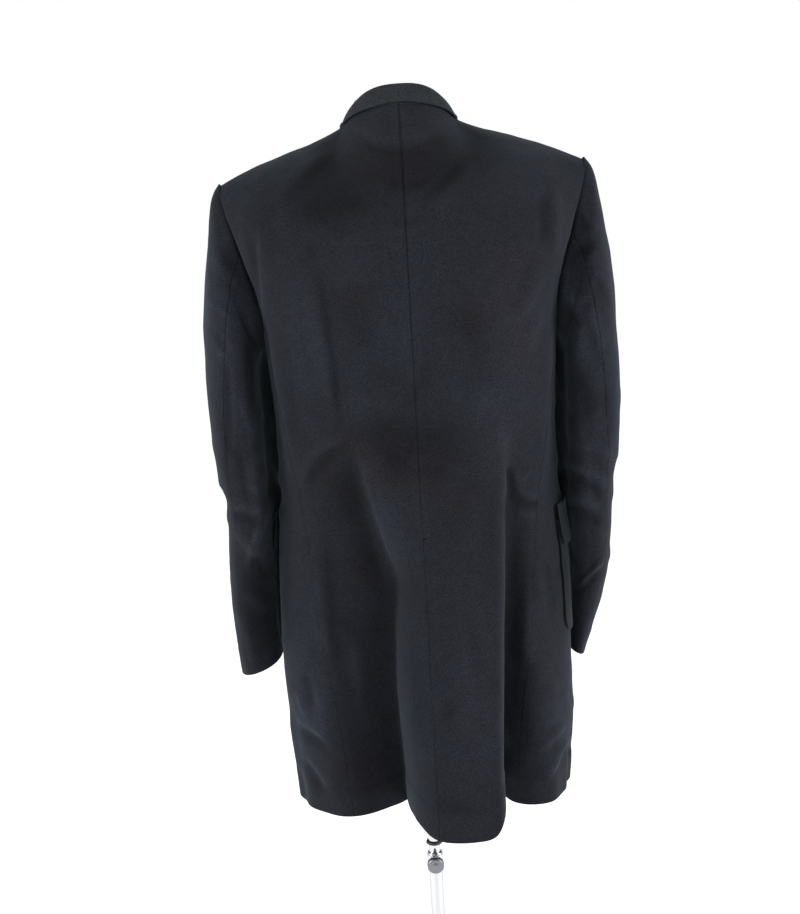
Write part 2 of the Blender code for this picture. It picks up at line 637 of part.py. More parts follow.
def make_sleeve(side, hand):
    rings = SLEEVE_HEAD + SLEEVE_END[side]

    def armhole_point(turn):
        """The armhole's edge by the sleeve's turn: 0 at the shoulder, 90 at the back, 180 under the arm."""
        turn = turn % 360.0
        behind = turn <= 180.0
        share = turn if behind else 360.0 - turn
        if share < ARMHOLE_TURN:
            level = YOKE + TOP_SHARE * (1 - share / ARMHOLE_TURN)
            return back_point(1.0, level) if behind else front_point(1.0, level)
        swing = 90.0 * (share - ARMHOLE_TURN) / (180.0 - ARMHOLE_TURN)
        height = YOKE - (YOKE - ARMHOLE_BOTTOM - 1e-5) * math.sin(math.radians(swing))
        reach = ARMHOLE_BACK if behind else ARMHOLE_FRONT
        offset = armhole_angle(height, reach)
        return skin(90.0 - offset if behind else 90.0 + offset, height)

    def ring_point(index, turn):
        c, s = math.cos(math.radians(turn)), math.sin(math.radians(turn))
        ring = rings[index]
        outer = np.array([ring.outer_x, 0.0, ring.outer_z])
        inner = np.array([ring.inner_x, 0.0, ring.inner_z])
        stretch = (abs(s) ** SLEEVE_CORNER + abs(c) ** SLEEVE_CORNER) ** (-1 / SLEEVE_CORNER)
        point = (outer + inner) / 2 + (outer - inner) / 2 * c * stretch
        point[0] -= ring.lean * ease((LEAN_START - s * stretch) / LEAN_REACH)
        point[1] += ring.depth * s * stretch - ring.forward
        return point

    def sleeve_point(turn, row):
        """Row 0 is the armhole and each whole row a ring, with smooth rows between them."""
        last = len(rings)

        def node(i):
            i = min(max(i, 0), last)
            if i == 0:
                return armhole_point(turn) + np.array([HEAD_GAP, 0.0, 0.0])
            return ring_point(i - 1, turn)

        i = min(int(row), last - 1)
        t = row - i
        leave = (node(i + 1) - node(i - 1)) / 2 if i > 0 else (node(1) - node(0)) * HEAD_LEAVE
        arrive = (node(i + 2) - node(i)) / 2 if i + 2 <= last else node(i + 1) - node(i)
        return hermite(node(i), leave, node(i + 1), arrive, t)

    def back_seam(row):
        values = [FIRST_BACK_SEAM] + [ring.back_seam for ring in rings]
        return float(np.interp(row, range(len(values)), values))

    shut = math.degrees(GAP / SEAM_RADIUS)
    pieces = {
        "top": lambda a, r: sleeve_point(
            SLEEVE_FRONT_SEAM - 360 + shut + (back_seam(r) + 360 - SLEEVE_FRONT_SEAM - 2 * shut) * a, r
        ),
        "under": lambda a, r: sleeve_point(
            back_seam(r) + shut + (SLEEVE_FRONT_SEAM - back_seam(r) - 2 * shut) * a, r
        ),
    }
    last = float(len(rings))
    rows = [0.0, 0.5] + spread(1.0, last, len(rings) + 2)
    for part, columns in (("top", 10), ("under", 9)):
        piece = pieces[part]
        points, out = sheet(lambda a, r: piece(a, r) * (hand, 1, 1), rows, spread(0.0, 1.0, columns), hand)
        cloth(f"sleeve_{part}_{side}", points, out)


def make_pockets():
    columns = spread(0.0, 1.0, 7)
    for side, hand in SIDES.items():
        def pocket_point(across, height):
            angle = POCKET_FORE + POCKET_TURN[side] + (POCKET_REAR - POCKET_FORE) * across
            return skin(hand * angle, height)

        points, out = sheet(pocket_point, spread(POCKET_LOW, POCKET_TOP, 6), columns, -hand)
        cloth(f"pocket_{side}", points, out, lift=LAYER + CLEAR)
        points, out = sheet(pocket_point, spread(FLAP_LOW, FLAP_TOP, 4), columns, -hand)
        cloth(f"pocket_flap_{side}", points, out, lift=2 * LAYER + CLEAR)


def turned(name, profile, finish_name, finish, sides=ROUND, smooth=True):
    """Spins a profile of (radius, height) points round the Z axis into a closed piece."""
    bm = bmesh.new()
    ring = [bm.verts.new((radius, 0.0, height)) for radius, height in profile]
    edges = [bm.edges.new(pair) for pair in zip(ring, ring[1:])]
    if profile[0][0] > 0.0:
        edges.append(bm.edges.new((ring[-1], ring[0])))
    bmesh.ops.spin(
        bm, geom=ring + edges, cent=(0, 0, 0), axis=(0, 0, 1), angle=math.tau, steps=sides, use_merge=True
    )
    bmesh.ops.remove_doubles(bm, verts=bm.verts, dist=1e-6)
    bmesh.ops.recalc_face_normals(bm, faces=bm.faces)
    mesh = bpy.data.meshes.new(name)
    bm.to_mesh(mesh)
    bm.free()
    return add_object(name, mesh, finish_name, finish, smooth)


def tube(name, outer, bore, low, top, finish_name, finish):
    edge = 0.0003
    profile = [
        (bore / 2, low), (outer / 2 - edge, low), (outer / 2, low + edge),
        (outer / 2, top - edge), (outer / 2 - edge, top), (bore / 2, top),
    ]
    return turned(name, profile, finish_name, finish)


def make_buttons():
    radius, bevel, rim, dish = BUTTON_DIAMETER / 2, 0.0008, 0.0022, 0.0012
    profile = [
        (0.0, 0.0), (radius - bevel, 0.0), (radius, bevel), (radius, BUTTON_THICK - bevel),
        (radius - bevel, BUTTON_THICK), (radius - rim, BUTTON_THICK),
        (radius - rim - bevel, BUTTON_THICK - dish), (0.0, BUTTON_THICK - dish),
    ]
    for number, height in enumerate(BUTTON_HEIGHTS, 1):
        button = turned(f"button_{number}", profile, "dark_horn", HORN, sides=20)
        face = hung(skin(180.0, height))
        ahead = face - hung(skin(180.0, height - 0.02))
        lean = math.atan2(ahead[1], ahead[2])
        button.rotation_euler = (math.pi / 2 - lean, 0.0, 0.0)
        button.location = face + np.array([0.0, -2.5 * GAP, 0.0])


def make_form():
    bm = bmesh.new()
    rings = []
    for level in FORM:
        ring = []
        for k in range(FORM_SIDES):
            point = oval(FORM, 360.0 * k / FORM_SIDES, level.height)[0]
            ring.append(bm.verts.new(point))
        rings.append(ring)
    for low, high in zip(rings, rings[1:]):
        for k in range(FORM_SIDES):
            n = (k + 1) % FORM_SIDES
            bm.faces.new((low[k], low[n], high[n], high[k]))
    bm.faces.new(rings[0])
    bm.faces.new(rings[-1])
    bmesh.ops.recalc_face_normals(bm, faces=bm.faces)
    mesh = bpy.data.meshes.new("dress_form")
    bm.to_mesh(mesh)
    bm.free()
    add_object("dress_form", mesh, "form_jersey", JERSEY)

    top = FORM[-1]
    low = top.height + GAP
    profile = [
        (0.0, low), (0.046, low), (0.048, low + 0.002), (0.047, low + NECK_CAP - 0.002),
        (0.043, low + NECK_CAP), (0.0, low + NECK_CAP + 0.002),
    ]
    cap = turned("neck_cap", profile, "black_plastic", BLACK_PLASTIC, sides=36)
    cap.scale = (1.0, 0.94, 1.0)
    cap.location = (0.0, 0.004, 0.0)


def make_stand():
    radius, edge = BASE_DIAMETER / 2, 0.003
    turned("base_plate", [
        (0.0, 0.0), (radius - 0.001, 0.0), (radius, 0.001), (radius, BASE_THICK - edge),
        (radius - edge * 0.3, BASE_THICK - edge * 0.3), (radius - edge, BASE_THICK), (0.0, BASE_THICK),
    ], "chrome", CHROME, sides=64)
    low, hub = BASE_THICK + GAP, HUB_DIAMETER / 2
    bore = OUTER_TUBE / 2 + GAP
    turned("base_hub", [
        (bore, low), (hub - 0.001, low), (hub, low + 0.001), (hub, low + 0.004), (hub * 0.72, low + 0.011),
        (hub * 0.56, low + HUB_HEIGHT - 0.002), (hub * 0.52, low + HUB_HEIGHT), (bore, low + HUB_HEIGHT),
    ], "chrome", CHROME)
    tube("outer_tube", OUTER_TUBE, OUTER_BORE, low, CLAMP_TOP - 0.019, "chrome", CHROME)
    tube("inner_tube", INNER_TUBE, INNER_BORE, INNER_LOW, FORM_LOW - FLANGE_THICK - 2 * GAP, "chrome", CHROME)

    outer, step = CLAMP_DIAMETER / 2, CLAMP_TOP - 0.0185
    clamp = turned("clamp_ring", [
        (OUTER_TUBE / 2 + GAP, CLAMP_LOW), (outer - 0.0008, CLAMP_LOW), (outer, CLAMP_LOW + 0.0008),
        (outer, CLAMP_TOP - 0.0008), (outer - 0.0008, CLAMP_TOP), (INNER_TUBE / 2 + 0.0005, CLAMP_TOP),
        (INNER_TUBE / 2 + 0.0005, step), (OUTER_TUBE / 2 + GAP, step),
    ], "chrome", CHROME)
    bpy.ops.mesh.primitive_cylinder_add(
        vertices=16, radius=0.0033, depth=0.012, location=(0.0, 0.012, KNOB_HEIGHT),
        rotation=(math.pi / 2, 0.0, 0.0),
    )
    drill = bpy.context.object
    drill.name = "clamp_drill"
    drill.hide_render = True
    drill.display_type = "WIRE"
    cut = clamp.modifiers.new("screw_hole", "BOOLEAN")
    cut.operation = "DIFFERENCE"
    cut.object = drill

    start, face = INNER_TUBE / 2 + 0.0005, CLAMP_DIAMETER / 2 + 0.0035
    knob, stem = KNOB_DIAMETER / 2, 0.0028
    turned_knob = turned("clamp_knob", [
        (0.0, start), (stem - 0.0004, start), (stem, start + 0.0004), (stem, face), (knob - 0.0012, face),
        (knob, face + 0.0012), (knob, face + KNOB_THICK - 0.0022), (knob - 0.0022, face + KNOB_THICK),
        (knob * 0.45, face + KNOB_THICK + 0.0006), (0.0, face + KNOB_THICK + 0.0008),
    ], "clamp_metal", Finish((0.30, 0.31, 0.33), 0.30, 1.0), sides=36)
    turned_knob.rotation_euler = (-math.pi / 2, 0.0, 0.0)
    turned_knob.location = (0.0, 0.0, KNOB_HEIGHT)

    tube("stop_ring", STOP_DIAMETER, INNER_TUBE + 2 * GAP, STOP_LOW, STOP_TOP, "black_plastic", BLACK_PLASTIC)
    flange, low = FLANGE_DIAMETER / 2, FORM_LOW - FLANGE_THICK - GAP
    turned("form_flange", [
        (0.0, low), (flange - 0.001, low), (flange, low + 0.001), (flange, low + FLANGE_THICK - 0.001),
        (flange - 0.001, low + FLANGE_THICK), (0.0, low + FLANGE_THICK),
    ], "black_plastic", BLACK_PLASTIC, sides=36)


start_empty()
make_backs()
make_side_panels()
make_fronts()
make_lapels()
make_collar()
for side_name, side_hand in SIDES.items():
    make_sleeve(side_name, side_hand)
make_pockets()
make_buttons()
make_form()
make_stand()
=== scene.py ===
import math
from collections import namedtuple

import bmesh
import bpy
import numpy as np
from mathutils import Matrix, Vector


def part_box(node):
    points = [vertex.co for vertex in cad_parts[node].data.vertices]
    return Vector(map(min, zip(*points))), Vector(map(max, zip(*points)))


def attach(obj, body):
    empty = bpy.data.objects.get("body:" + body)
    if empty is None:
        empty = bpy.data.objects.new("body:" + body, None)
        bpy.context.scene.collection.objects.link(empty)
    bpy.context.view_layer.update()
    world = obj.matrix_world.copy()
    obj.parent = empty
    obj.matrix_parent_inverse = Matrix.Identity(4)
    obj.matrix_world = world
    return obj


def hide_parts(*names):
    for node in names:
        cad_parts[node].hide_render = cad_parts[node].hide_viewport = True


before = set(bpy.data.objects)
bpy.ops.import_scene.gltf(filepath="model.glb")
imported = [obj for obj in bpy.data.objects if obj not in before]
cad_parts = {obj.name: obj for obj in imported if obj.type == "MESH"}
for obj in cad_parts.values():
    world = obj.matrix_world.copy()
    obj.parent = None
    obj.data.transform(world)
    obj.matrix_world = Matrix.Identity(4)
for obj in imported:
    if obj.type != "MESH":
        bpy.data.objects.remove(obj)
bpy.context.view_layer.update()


# ---- Base plate and hub ----------------------------------------------------------------------------------
# The foot of a shop stand: a turned steel disc with a rolled edge, and a conical hub welded on its middle
# that grips the outer tube. Both are polished and chrome plated.

def add(tree, kind, inputs=(), **settings):
    """Adds a shader node, sets its properties, and links or sets its inputs."""
    made = tree.nodes.new(kind)
    for key, value in settings.items():
        setattr(made, key, value)
    for key, value in dict(inputs).items():
        if isinstance(value, bpy.types.NodeSocket):
            tree.links.new(value, made.inputs[key])
        else:
            made.inputs[key].default_value = value
    return made


def finish(name, colour, roughness, metallic=0.0):
    """A material with its Principled shader, and the tree to build on."""
    made = bpy.data.materials.new(name)
    made.use_nodes = True
    shader = made.node_tree.nodes["Principled BSDF"]
    shader.inputs["Base Color"].default_value = (*colour, 1.0)
    shader.inputs["Roughness"].default_value = roughness
    shader.inputs["Metallic"].default_value = metallic
    return made, made.node_tree, shader


def mottled(tree, place, scale, detail=3.0, **more):
    """Soft noise through a piece, at some scale."""
    inputs = {"Vector": place, "Scale": scale, "Detail": detail, **more}
    return add(tree, "ShaderNodeTexNoise", inputs).outputs["Fac"]


def spread(tree, value, low, high, start=0.3, end=0.7):
    """Spreads the middle part of a value out from low to high."""
    limits = {"Value": value, "From Min": start, "From Max": end, "To Min": low, "To Max": high}
    return add(tree, "ShaderNodeMapRange", limits).outputs["Result"]


def grained(tree, shader, height, strength, deep):
    """Gives a material a fine relief."""
    bump = add(tree, "ShaderNodeBump", {"Height": height, "Strength": strength, "Distance": deep})
    tree.links.new(bump.outputs["Normal"], shader.inputs["Normal"])


def plated(name, colour, smooth, worn):
    """Polished plate: mirror-like, with faint wiping marks that dull it in patches."""
    made, tree, shader = finish(name, colour, smooth, 1.0)
    place = add(tree, "ShaderNodeTexCoord").outputs["Object"]
    dull = spread(tree, mottled(tree, place, 34.0, 4.0), smooth, worn, 0.40, 0.75)
    tree.links.new(dull, shader.inputs["Roughness"])
    grained(tree, shader, mottled(tree, place, 900.0, 2.0), 0.03, 0.0002)
    return made


CHROME = plated("polished_chrome", (0.70, 0.71, 0.72), 0.06, 0.16)


def pick(test):
    """In edit mode, selects only the faces that pass the test."""
    bpy.ops.mesh.select_all(action="DESELECT")
    mesh = bmesh.from_edit_mesh(bpy.context.object.data)
    for face in mesh.faces:
        if test(face):
            face.select_set(True)
    bmesh.update_edit_mesh(bpy.context.object.data)


def turned(name, profile, bore=False, sides=96, bevel=0.0004):
    """Turns a piece: a disc is pulled up and resized through rows of (radius, height), then bored."""
    bpy.ops.object.select_all(action="DESELECT")
    (radius, height), *rows = profile
    bpy.ops.mesh.primitive_circle_add(
        vertices=sides, radius=radius, fill_type="NGON", location=(0.0, 0.0, height)
    )
    thing = bpy.context.object
    thing.name = name
    bpy.ops.object.transform_apply(location=True, rotation=True, scale=True)
    bpy.ops.object.mode_set(mode="EDIT")
    bpy.ops.mesh.select_mode(type="FACE")
    bpy.ops.mesh.select_all(action="SELECT")
    for next_radius, next_height in rows:
        bpy.ops.mesh.extrude_region_move(TRANSFORM_OT_translate={"value": (0, 0, next_height - height)})
        share = next_radius / radius
        bpy.ops.transform.resize(value=(share, share, 1.0), center_override=(0.0, 0.0, next_height))
        radius, height = next_radius, next_height
    if bore:
        pick(lambda face: len(face.verts) == sides)
        bpy.ops.mesh.bridge_edge_loops()
    bpy.ops.mesh.select_all(action="SELECT")
    bpy.ops.mesh.normals_make_consistent(inside=False)
    bpy.ops.object.mode_set(mode="OBJECT")
    if bevel:
        edge = thing.modifiers.new("edge", "BEVEL")
        edge.width, edge.segments, edge.angle_limit = bevel, 3, math.radians(28)
        bpy.ops.object.modifier_apply(modifier="edge")
    bpy.ops.object.shade_smooth_by_angle(angle=math.radians(40))
    return thing


def fixed(thing, made, body, slot, *nodes):
    """Gives a finished piece its material and its body, and hides the nodes that it stands for; its slot is
    not used.
    """
    thing.data.materials.clear()
    thing.data.materials.append(made)
    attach(thing, body)
    if nodes:
        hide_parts(*nodes)
    return thing


plate_low, plate_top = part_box("base_plate")
plate = (plate_top[0] - plate_low[0]) / 2
thick = plate_top[2]
fixed(turned("base_disc", [
    (plate - 0.004, 0.0), (plate - 0.001, 0.0006), (plate, 0.003), (plate, thick * 0.60),
    (plate - 0.0012, thick * 0.84), (plate - 0.004, thick), (plate * 0.30, thick),
], sides=160, bevel=0.0), CHROME, "stand", "chrome", "base_plate")

hub_low, hub_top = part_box("base_hub")
hub, hub_base, hub_height = hub_top[0], hub_low[2], hub_top[2] - hub_low[2]
tube_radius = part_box("outer_tube")[1][0]
hub_bore = tube_radius + 0.0003
fixed(turned("stand_hub", [
    (hub_bore, hub_base), (hub, hub_base), (hub, hub_base + 0.004), (hub * 0.86, hub_base + 0.0065),
    (hub * 0.72, hub_base + 0.0112), (hub * 0.62, hub_base + 0.018),
    (hub * 0.56, hub_base + hub_height - 0.002), (hub * 0.52, hub_base + hub_height),
    (hub_bore, hub_base + hub_height),
], bore=True), CHROME, "stand", "chrome", "base_hub")


# ---- Telescopic pole, clamp and stop ring ----------------------------------------------------------------
# Drawn steel tubes, chrome plated. The inner one slides in the outer one, is gripped by a ring with a
# knurled screw, and carries a black plastic ring that stops it from dropping inside.

def tube(name, node, wall, body):
    low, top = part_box(node)
    radius = top[0]
    profile = [(radius - wall, low[2]), (radius, low[2]), (radius, top[2]), (radius - wall, top[2])]
    return fixed(turned(name, profile, bore=True), CHROME, body, "chrome", node)


tube("pole_outer", "outer_tube", 0.0011, "stand")
tube("pole_inner", "inner_tube", 0.0012, "pole")

collar_low, collar_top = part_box("clamp_ring")
grip, ring_low, ring_top = collar_top[0], collar_low[2], collar_top[2]
inner_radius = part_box("inner_tube")[1][0]
ring = turned("clamp_collar", [
    (inner_radius + 0.0018, ring_low), (grip, ring_low), (grip, ring_low + 0.006),
    (grip - 0.0007, ring_low + 0.0068), (grip - 0.0007, ring_low + 0.0078), (grip, ring_low + 0.0086),
    (grip, ring_top - 0.0040),
    (grip - 0.0010, ring_top - 0.0008), (grip - 0.0018, ring_top), (inner_radius + 0.0005, ring_top),
    (inner_radius + 0.0005, ring_top - 0.0184), (inner_radius + 0.0018, ring_top - 0.0184),
], bore=True, bevel=0.00025)
fixed(ring, CHROME, "stand", "chrome", "clamp_ring")

STEEL = plated("dark_turned_steel", (0.23, 0.24, 0.26), 0.22, 0.40)
knob_low, knob_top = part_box("clamp_knob")
knob_height = (knob_low[2] + knob_top[2]) / 2
knob_radius, stem_tip, knob_face = (knob_top[2] - knob_low[2]) / 2, knob_low[1], knob_top[1]
flank = knob_face - 0.0118
STEM, RIBS = 0.0028, 32
knob = turned("clamp_screw", [
    (STEM - 0.0005, stem_tip), (STEM, stem_tip + 0.0005), (STEM, flank), (knob_radius - 0.0020, flank),
    (knob_radius - 0.0008, flank + 0.0010), (knob_radius - 0.0004, flank + 0.0022),
    (knob_radius - 0.0004, knob_face - 0.0034), (knob_radius - 0.0012, knob_face - 0.0020),
    (knob_radius - 0.0028, knob_face - 0.0012), (knob_radius - 0.0040, knob_face - 0.0014),
    (knob_radius * 0.42, knob_face - 0.0010), (knob_radius * 0.20, knob_face - 0.0001), (0.0006, knob_face),
], sides=RIBS * 4, bevel=0.0)
for vertex in knob.data.vertices:
    across = math.hypot(vertex.co.x, vertex.co.y)
    if across > knob_radius - 0.0010 and flank + 0.0015 < vertex.co.z < knob_face - 0.0022:
        wave = math.cos(math.atan2(vertex.co.y, vertex.co.x) * RIBS)
        vertex.co.x *= 1 + 0.0004 * wave / across
        vertex.co.y *= 1 + 0.0004 * wave / across
bpy.ops.transform.rotate(value=math.radians(90), orient_axis="X", center_override=(0.0, 0.0, 0.0))
if knob.matrix_world.to_3x3() @ Vector((0, 0, 1)) @ Vector((0, 1, 0)) < 0:
    knob.rotation_euler = (-math.pi / 2, 0.0, 0.0)
knob.location = (0.0, 0.0, knob_height)
bpy.ops.object.transform_apply(location=True, rotation=True, scale=True)
fixed(knob, STEEL, "clamp", "clamp_metal", "clamp_knob")


def moulded(name, colour, roughness):
    """Moulded plastic: an even colour with the fine texture of the tool's surface."""
    made, tree, shader = finish(name, colour, roughness)
    place = add(tree, "ShaderNodeTexCoord").outputs["Object"]
    grained(tree, shader, mottled(tree, place, 1500.0, 2.0), 0.15, 0.0002)
    rubbed = spread(tree, mottled(tree, place, 60.0), roughness - 0.08, roughness + 0.10)
    tree.links.new(rubbed, shader.inputs["Roughness"])
    return made


BLACK_PLASTIC = moulded("black_plastic", (0.018, 0.018, 0.020), 0.42)
stop_low, stop_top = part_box("stop_ring")
bore_radius = inner_radius + 0.0003
stop_edge = stop_top[0]
stop = turned("pole_stop", [
    (bore_radius, stop_low[2]), (stop_edge - 0.001, stop_low[2]), (stop_edge, stop_low[2] + 0.001),
    (stop_edge, stop_top[2] - 0.0035), (stop_edge - 0.0008, stop_top[2] - 0.001), (bore_radius, stop_top[2]),
], bore=True, bevel=0.0002)
fixed(stop, BLACK_PLASTIC, "pole", "black_plastic", "stop_ring")


# ---- Dress form ------------------------------------------------------------------------------------------
# A hollow limbless torso of moulded shell under a stretched black jersey cover, closed by a plastic cap on
# the neck and carried by a round flange on the pole. It only shows in the coat's neck and under its hem.

# Rounded ovals by height: half width, depth behind and in front of the pole, and how square they are
Level = namedtuple("Level", "height half back front corner")
FORM = (
    Level(0.880, 0.132, 0.062, 0.084, 2.2),
    Level(0.884, 0.142, 0.070, 0.092, 2.2),
    Level(0.896, 0.150, 0.076, 0.098, 2.2),
    Level(0.940, 0.152, 0.078, 0.102, 2.2),
    Level(1.000, 0.146, 0.078, 0.102, 2.2),
    Level(1.080, 0.140, 0.078, 0.100, 2.2),
    Level(1.180, 0.150, 0.090, 0.108, 2.25),
    Level(1.260, 0.162, 0.100, 0.114, 2.3),
    Level(1.330, 0.166, 0.099, 0.110, 2.3),
    Level(1.375, 0.156, 0.088, 0.098, 2.3),
    Level(1.405, 0.104, 0.069, 0.072, 2.2),
    Level(1.425, 0.070, 0.059, 0.055, 2.1),
    Level(1.442, 0.056, 0.055, 0.048, 2.0),
    Level(1.462, 0.050, 0.053, 0.045, 2.0),
    Level(1.488, 0.047, 0.051, 0.044, 2.0),
)


def hermite(start, leave, end, arrive, t):
    """A cubic from start to end with the given tangents at both."""
    return (
        start * (1 + 2 * t) * (1 - t) ** 2
        + leave * t * (1 - t) ** 2
        + end * t * t * (3 - 2 * t)
        + arrive * t * t * (t - 1)
    )


def along(table, column, at):
    """One column of a table at some heights, on a smooth curve through its rows."""
    heights = np.array([row.height for row in table])
    values = np.array([getattr(row, column) for row in table])
    slopes = np.gradient(values, heights)
    at = np.clip(at, heights[0], heights[-1])
    i = np.clip(np.searchsorted(heights, at) - 1, 0, len(heights) - 2)
    span = heights[i + 1] - heights[i]
    t = (at - heights[i]) / span
    return hermite(values[i], slopes[i] * span, values[i + 1], slopes[i + 1] * span, t)


def oval(table, angle, height):
    """Points of a table's rounded ovals and the directions out of them. Angle 0 is the centre back."""
    angle, height = np.broadcast_arrays(np.asarray(angle, float), np.asarray(height, float))
    s, c = np.sin(np.radians(angle)), np.cos(np.radians(angle))
    corner, half = along(table, "corner", height), along(table, "half", height)
    depth = np.where(c > 0, along(table, "back", height), along(table, "front", height))
    stretch = (np.abs(s) ** corner + np.abs(c) ** corner) ** (-1 / corner)
    x, y = half * s * stretch, depth * c * stretch
    out = np.stack([x / half**2, y / depth**2, 0 * x], -1)
    return np.stack([x, y, height], -1), out / np.linalg.norm(out, axis=-1, keepdims=True)


def knitted(name, colour):
    """Stretch jersey: fine upright ribs of stitches with a soft bloom."""
    made, tree, shader = finish(name, colour, 0.90)
    flat = add(tree, "ShaderNodeUVMap", uv_map="cloth").outputs["UV"]
    ribs = add(tree, "ShaderNodeTexWave", {
        "Vector": flat, "Scale": 180.0, "Distortion": 0.8, "Detail": 1.0, "Detail Scale": 3.0,
    })
    grained(tree, shader, ribs.outputs["Fac"], 0.5, 0.0003)
    tone = spread(tree, mottled(tree, flat, 25.0), 0.75, 1.25)
    mixed = add(tree, "ShaderNodeVectorMath", {0: colour, "Scale": tone}, operation="SCALE")
    tree.links.new(mixed.outputs["Vector"], shader.inputs["Base Color"])
    shader.inputs["Sheen Weight"].default_value = 0.25
    shader.inputs["Sheen Roughness"].default_value = 0.5
    return made


def lengths(points, axis):
    """How far along a grid each point lies from its first row or column, in metres."""
    steps = np.linalg.norm(np.diff(points, axis=axis), axis=-1)
    start = np.zeros_like(np.take(steps, [0], axis=axis))
    return np.concatenate([start, np.cumsum(steps, axis=axis)], axis=axis)


def mesh_of(name, points, faces, flat, **values):
    """A mesh with its flat pattern in metres as a UV map, and a named attribute for each row of values."""
    mesh = bpy.data.meshes.new(name)
    mesh.from_pydata(points.tolist(), [], faces)
    mesh.update()
    corners = np.zeros(len(mesh.loops), np.int32)
    mesh.loops.foreach_get("vertex_index", corners)
    layer = mesh.uv_layers.new(name="cloth")
    layer.data.foreach_set("uv", flat[corners].astype(np.float32).ravel())
    for key, row in values.items():
        mesh.attributes.new(key, "FLOAT", "POINT").data.foreach_set("value", row.astype(np.float32))
    mesh.polygons.foreach_set("use_smooth", [True] * len(mesh.polygons))
    thing = bpy.data.objects.new(name, mesh)
    bpy.context.scene.collection.objects.link(thing)
    return thing


def faced_out(thing, weld=False):
    """Turns a mesh's faces outwards, after joining its doubled corners where a grid closes on itself."""
    mesh = bmesh.new()
    mesh.from_mesh(thing.data)
    if weld:
        bmesh.ops.remove_doubles(mesh, verts=mesh.verts, dist=1e-6)
    bmesh.ops.recalc_face_normals(mesh, faces=mesh.faces)
    mesh.to_mesh(thing.data)
    mesh.free()
    return thing


SIDES_OF_FORM, ROWS_OF_FORM = 120, 110
angles = np.linspace(0.0, 360.0, SIDES_OF_FORM + 1)
levels = FORM[0].height + (FORM[-1].height - FORM[0].height) * np.linspace(0.0, 1.0, ROWS_OF_FORM) ** 1.05
form_points = oval(FORM, angles[None, :], levels[:, None])[0]
form_flat = np.stack([lengths(form_points, 1), lengths(form_points, 0)], -1)
index = np.arange(ROWS_OF_FORM * (SIDES_OF_FORM + 1)).reshape(ROWS_OF_FORM, -1)
quads = [
    (int(index[r, c + 1]), int(index[r, c]), int(index[r + 1, c]), int(index[r + 1, c + 1]))
    for r in range(ROWS_OF_FORM - 1) for c in range(SIDES_OF_FORM)
]
quads += [[int(i) for i in index[0, :-1]], [int(i) for i in index[-1, -2::-1]]]
body = mesh_of("form_body", form_points.reshape(-1, 3), quads, form_flat.reshape(-1, 2))
JERSEY = knitted("black_jersey", (0.024, 0.024, 0.027))
fixed(faced_out(body, weld=True), JERSEY, "coat_form", "form_jersey", "dress_form")

cap_low, cap_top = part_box("neck_cap")
cap_edge, cap_depth = cap_top[0], (cap_top[1] - cap_low[1]) / 2
cap = turned("form_cap", [
    (cap_edge - 0.002, cap_low[2]), (cap_edge, cap_low[2] + 0.0015), (cap_edge, cap_top[2] - 0.0045),
    (cap_edge - 0.0015, cap_top[2] - 0.0025), (cap_edge - 0.006, cap_top[2] - 0.0016),
    (cap_edge - 0.008, cap_top[2] - 0.0020), (cap_edge * 0.5, cap_top[2] - 0.0006), (0.004, cap_top[2]),
], bevel=0.0002)
cap.scale = (1.0, cap_depth / cap_edge, 1.0)
cap.location = (0.0, (cap_top[1] + cap_low[1]) / 2, 0.0)
bpy.ops.object.transform_apply(location=True, rotation=True, scale=True)
fixed(cap, BLACK_PLASTIC, "coat_form", "black_plastic", "neck_cap")

flange_low, flange_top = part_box("form_flange")
flange = flange_top[0]
fixed(turned("form_foot", [
    (flange - 0.001, flange_low[2]), (flange, flange_low[2] + 0.001), (flange, flange_top[2] - 0.001),
    (flange - 0.001, flange_top[2]),
], bevel=0.0), BLACK_PLASTIC, "coat_form", "black_plastic", "form_flange")


# ---- Coat: the two back panels ---------------------------------------------------------------------------
# Brushed navy cotton with a short nap. Each back runs from the shoulder to the hem. They are sewn together
# down the middle to the top of the vent, where the left one laps over the right.

CLOTH, GAP, CLEAR = 0.0020, 0.0003, 0.0010
LAYER = CLOTH + GAP
HANG, SHOULDER_DROP, DROP_FROM, DROP_OVER = -0.0055, 0.017, 1.15, 0.20
SIDES = {"left": 1, "right": -1}
HEM, YOKE, VENT_TOP, VENT_LAP = 0.592, 1.335, 0.965, 0.090
ARMHOLE_BOTTOM, ARMHOLE_BACK, ARMHOLE_FRONT = 1.200, 22.0, 26.0
TOP_SHARE, STEP = 0.997, 0.002
NECK_HALF, NECK_BACK, NECK_TOP, NECK_POINT = 0.066, 0.0750, 1.4870, 1.468
SHOULDER_HALF, SHOULDER_SLOPE, SHOULDER_BEND, NECK_SHARE = 0.230, 0.20, 0.88, 0.31
NECK_RISE, NECK_RISE_REACH = 0.0085, 0.014

COAT = (
    Level(0.592, 0.183, 0.100, 0.150, 2.3),
    Level(0.660, 0.187, 0.104, 0.150, 2.3),
    Level(0.760, 0.190, 0.108, 0.149, 2.3),
    Level(0.900, 0.188, 0.109, 0.146, 2.3),
    Level(1.010, 0.180, 0.112, 0.140, 2.3),
    Level(1.080, 0.178, 0.117, 0.137, 2.35),
    Level(1.160, 0.181, 0.125, 0.140, 2.45),
    Level(1.240, 0.186, 0.130, 0.146, 2.6),
    Level(1.335, 0.214, 0.131, 0.143, 2.6),
)
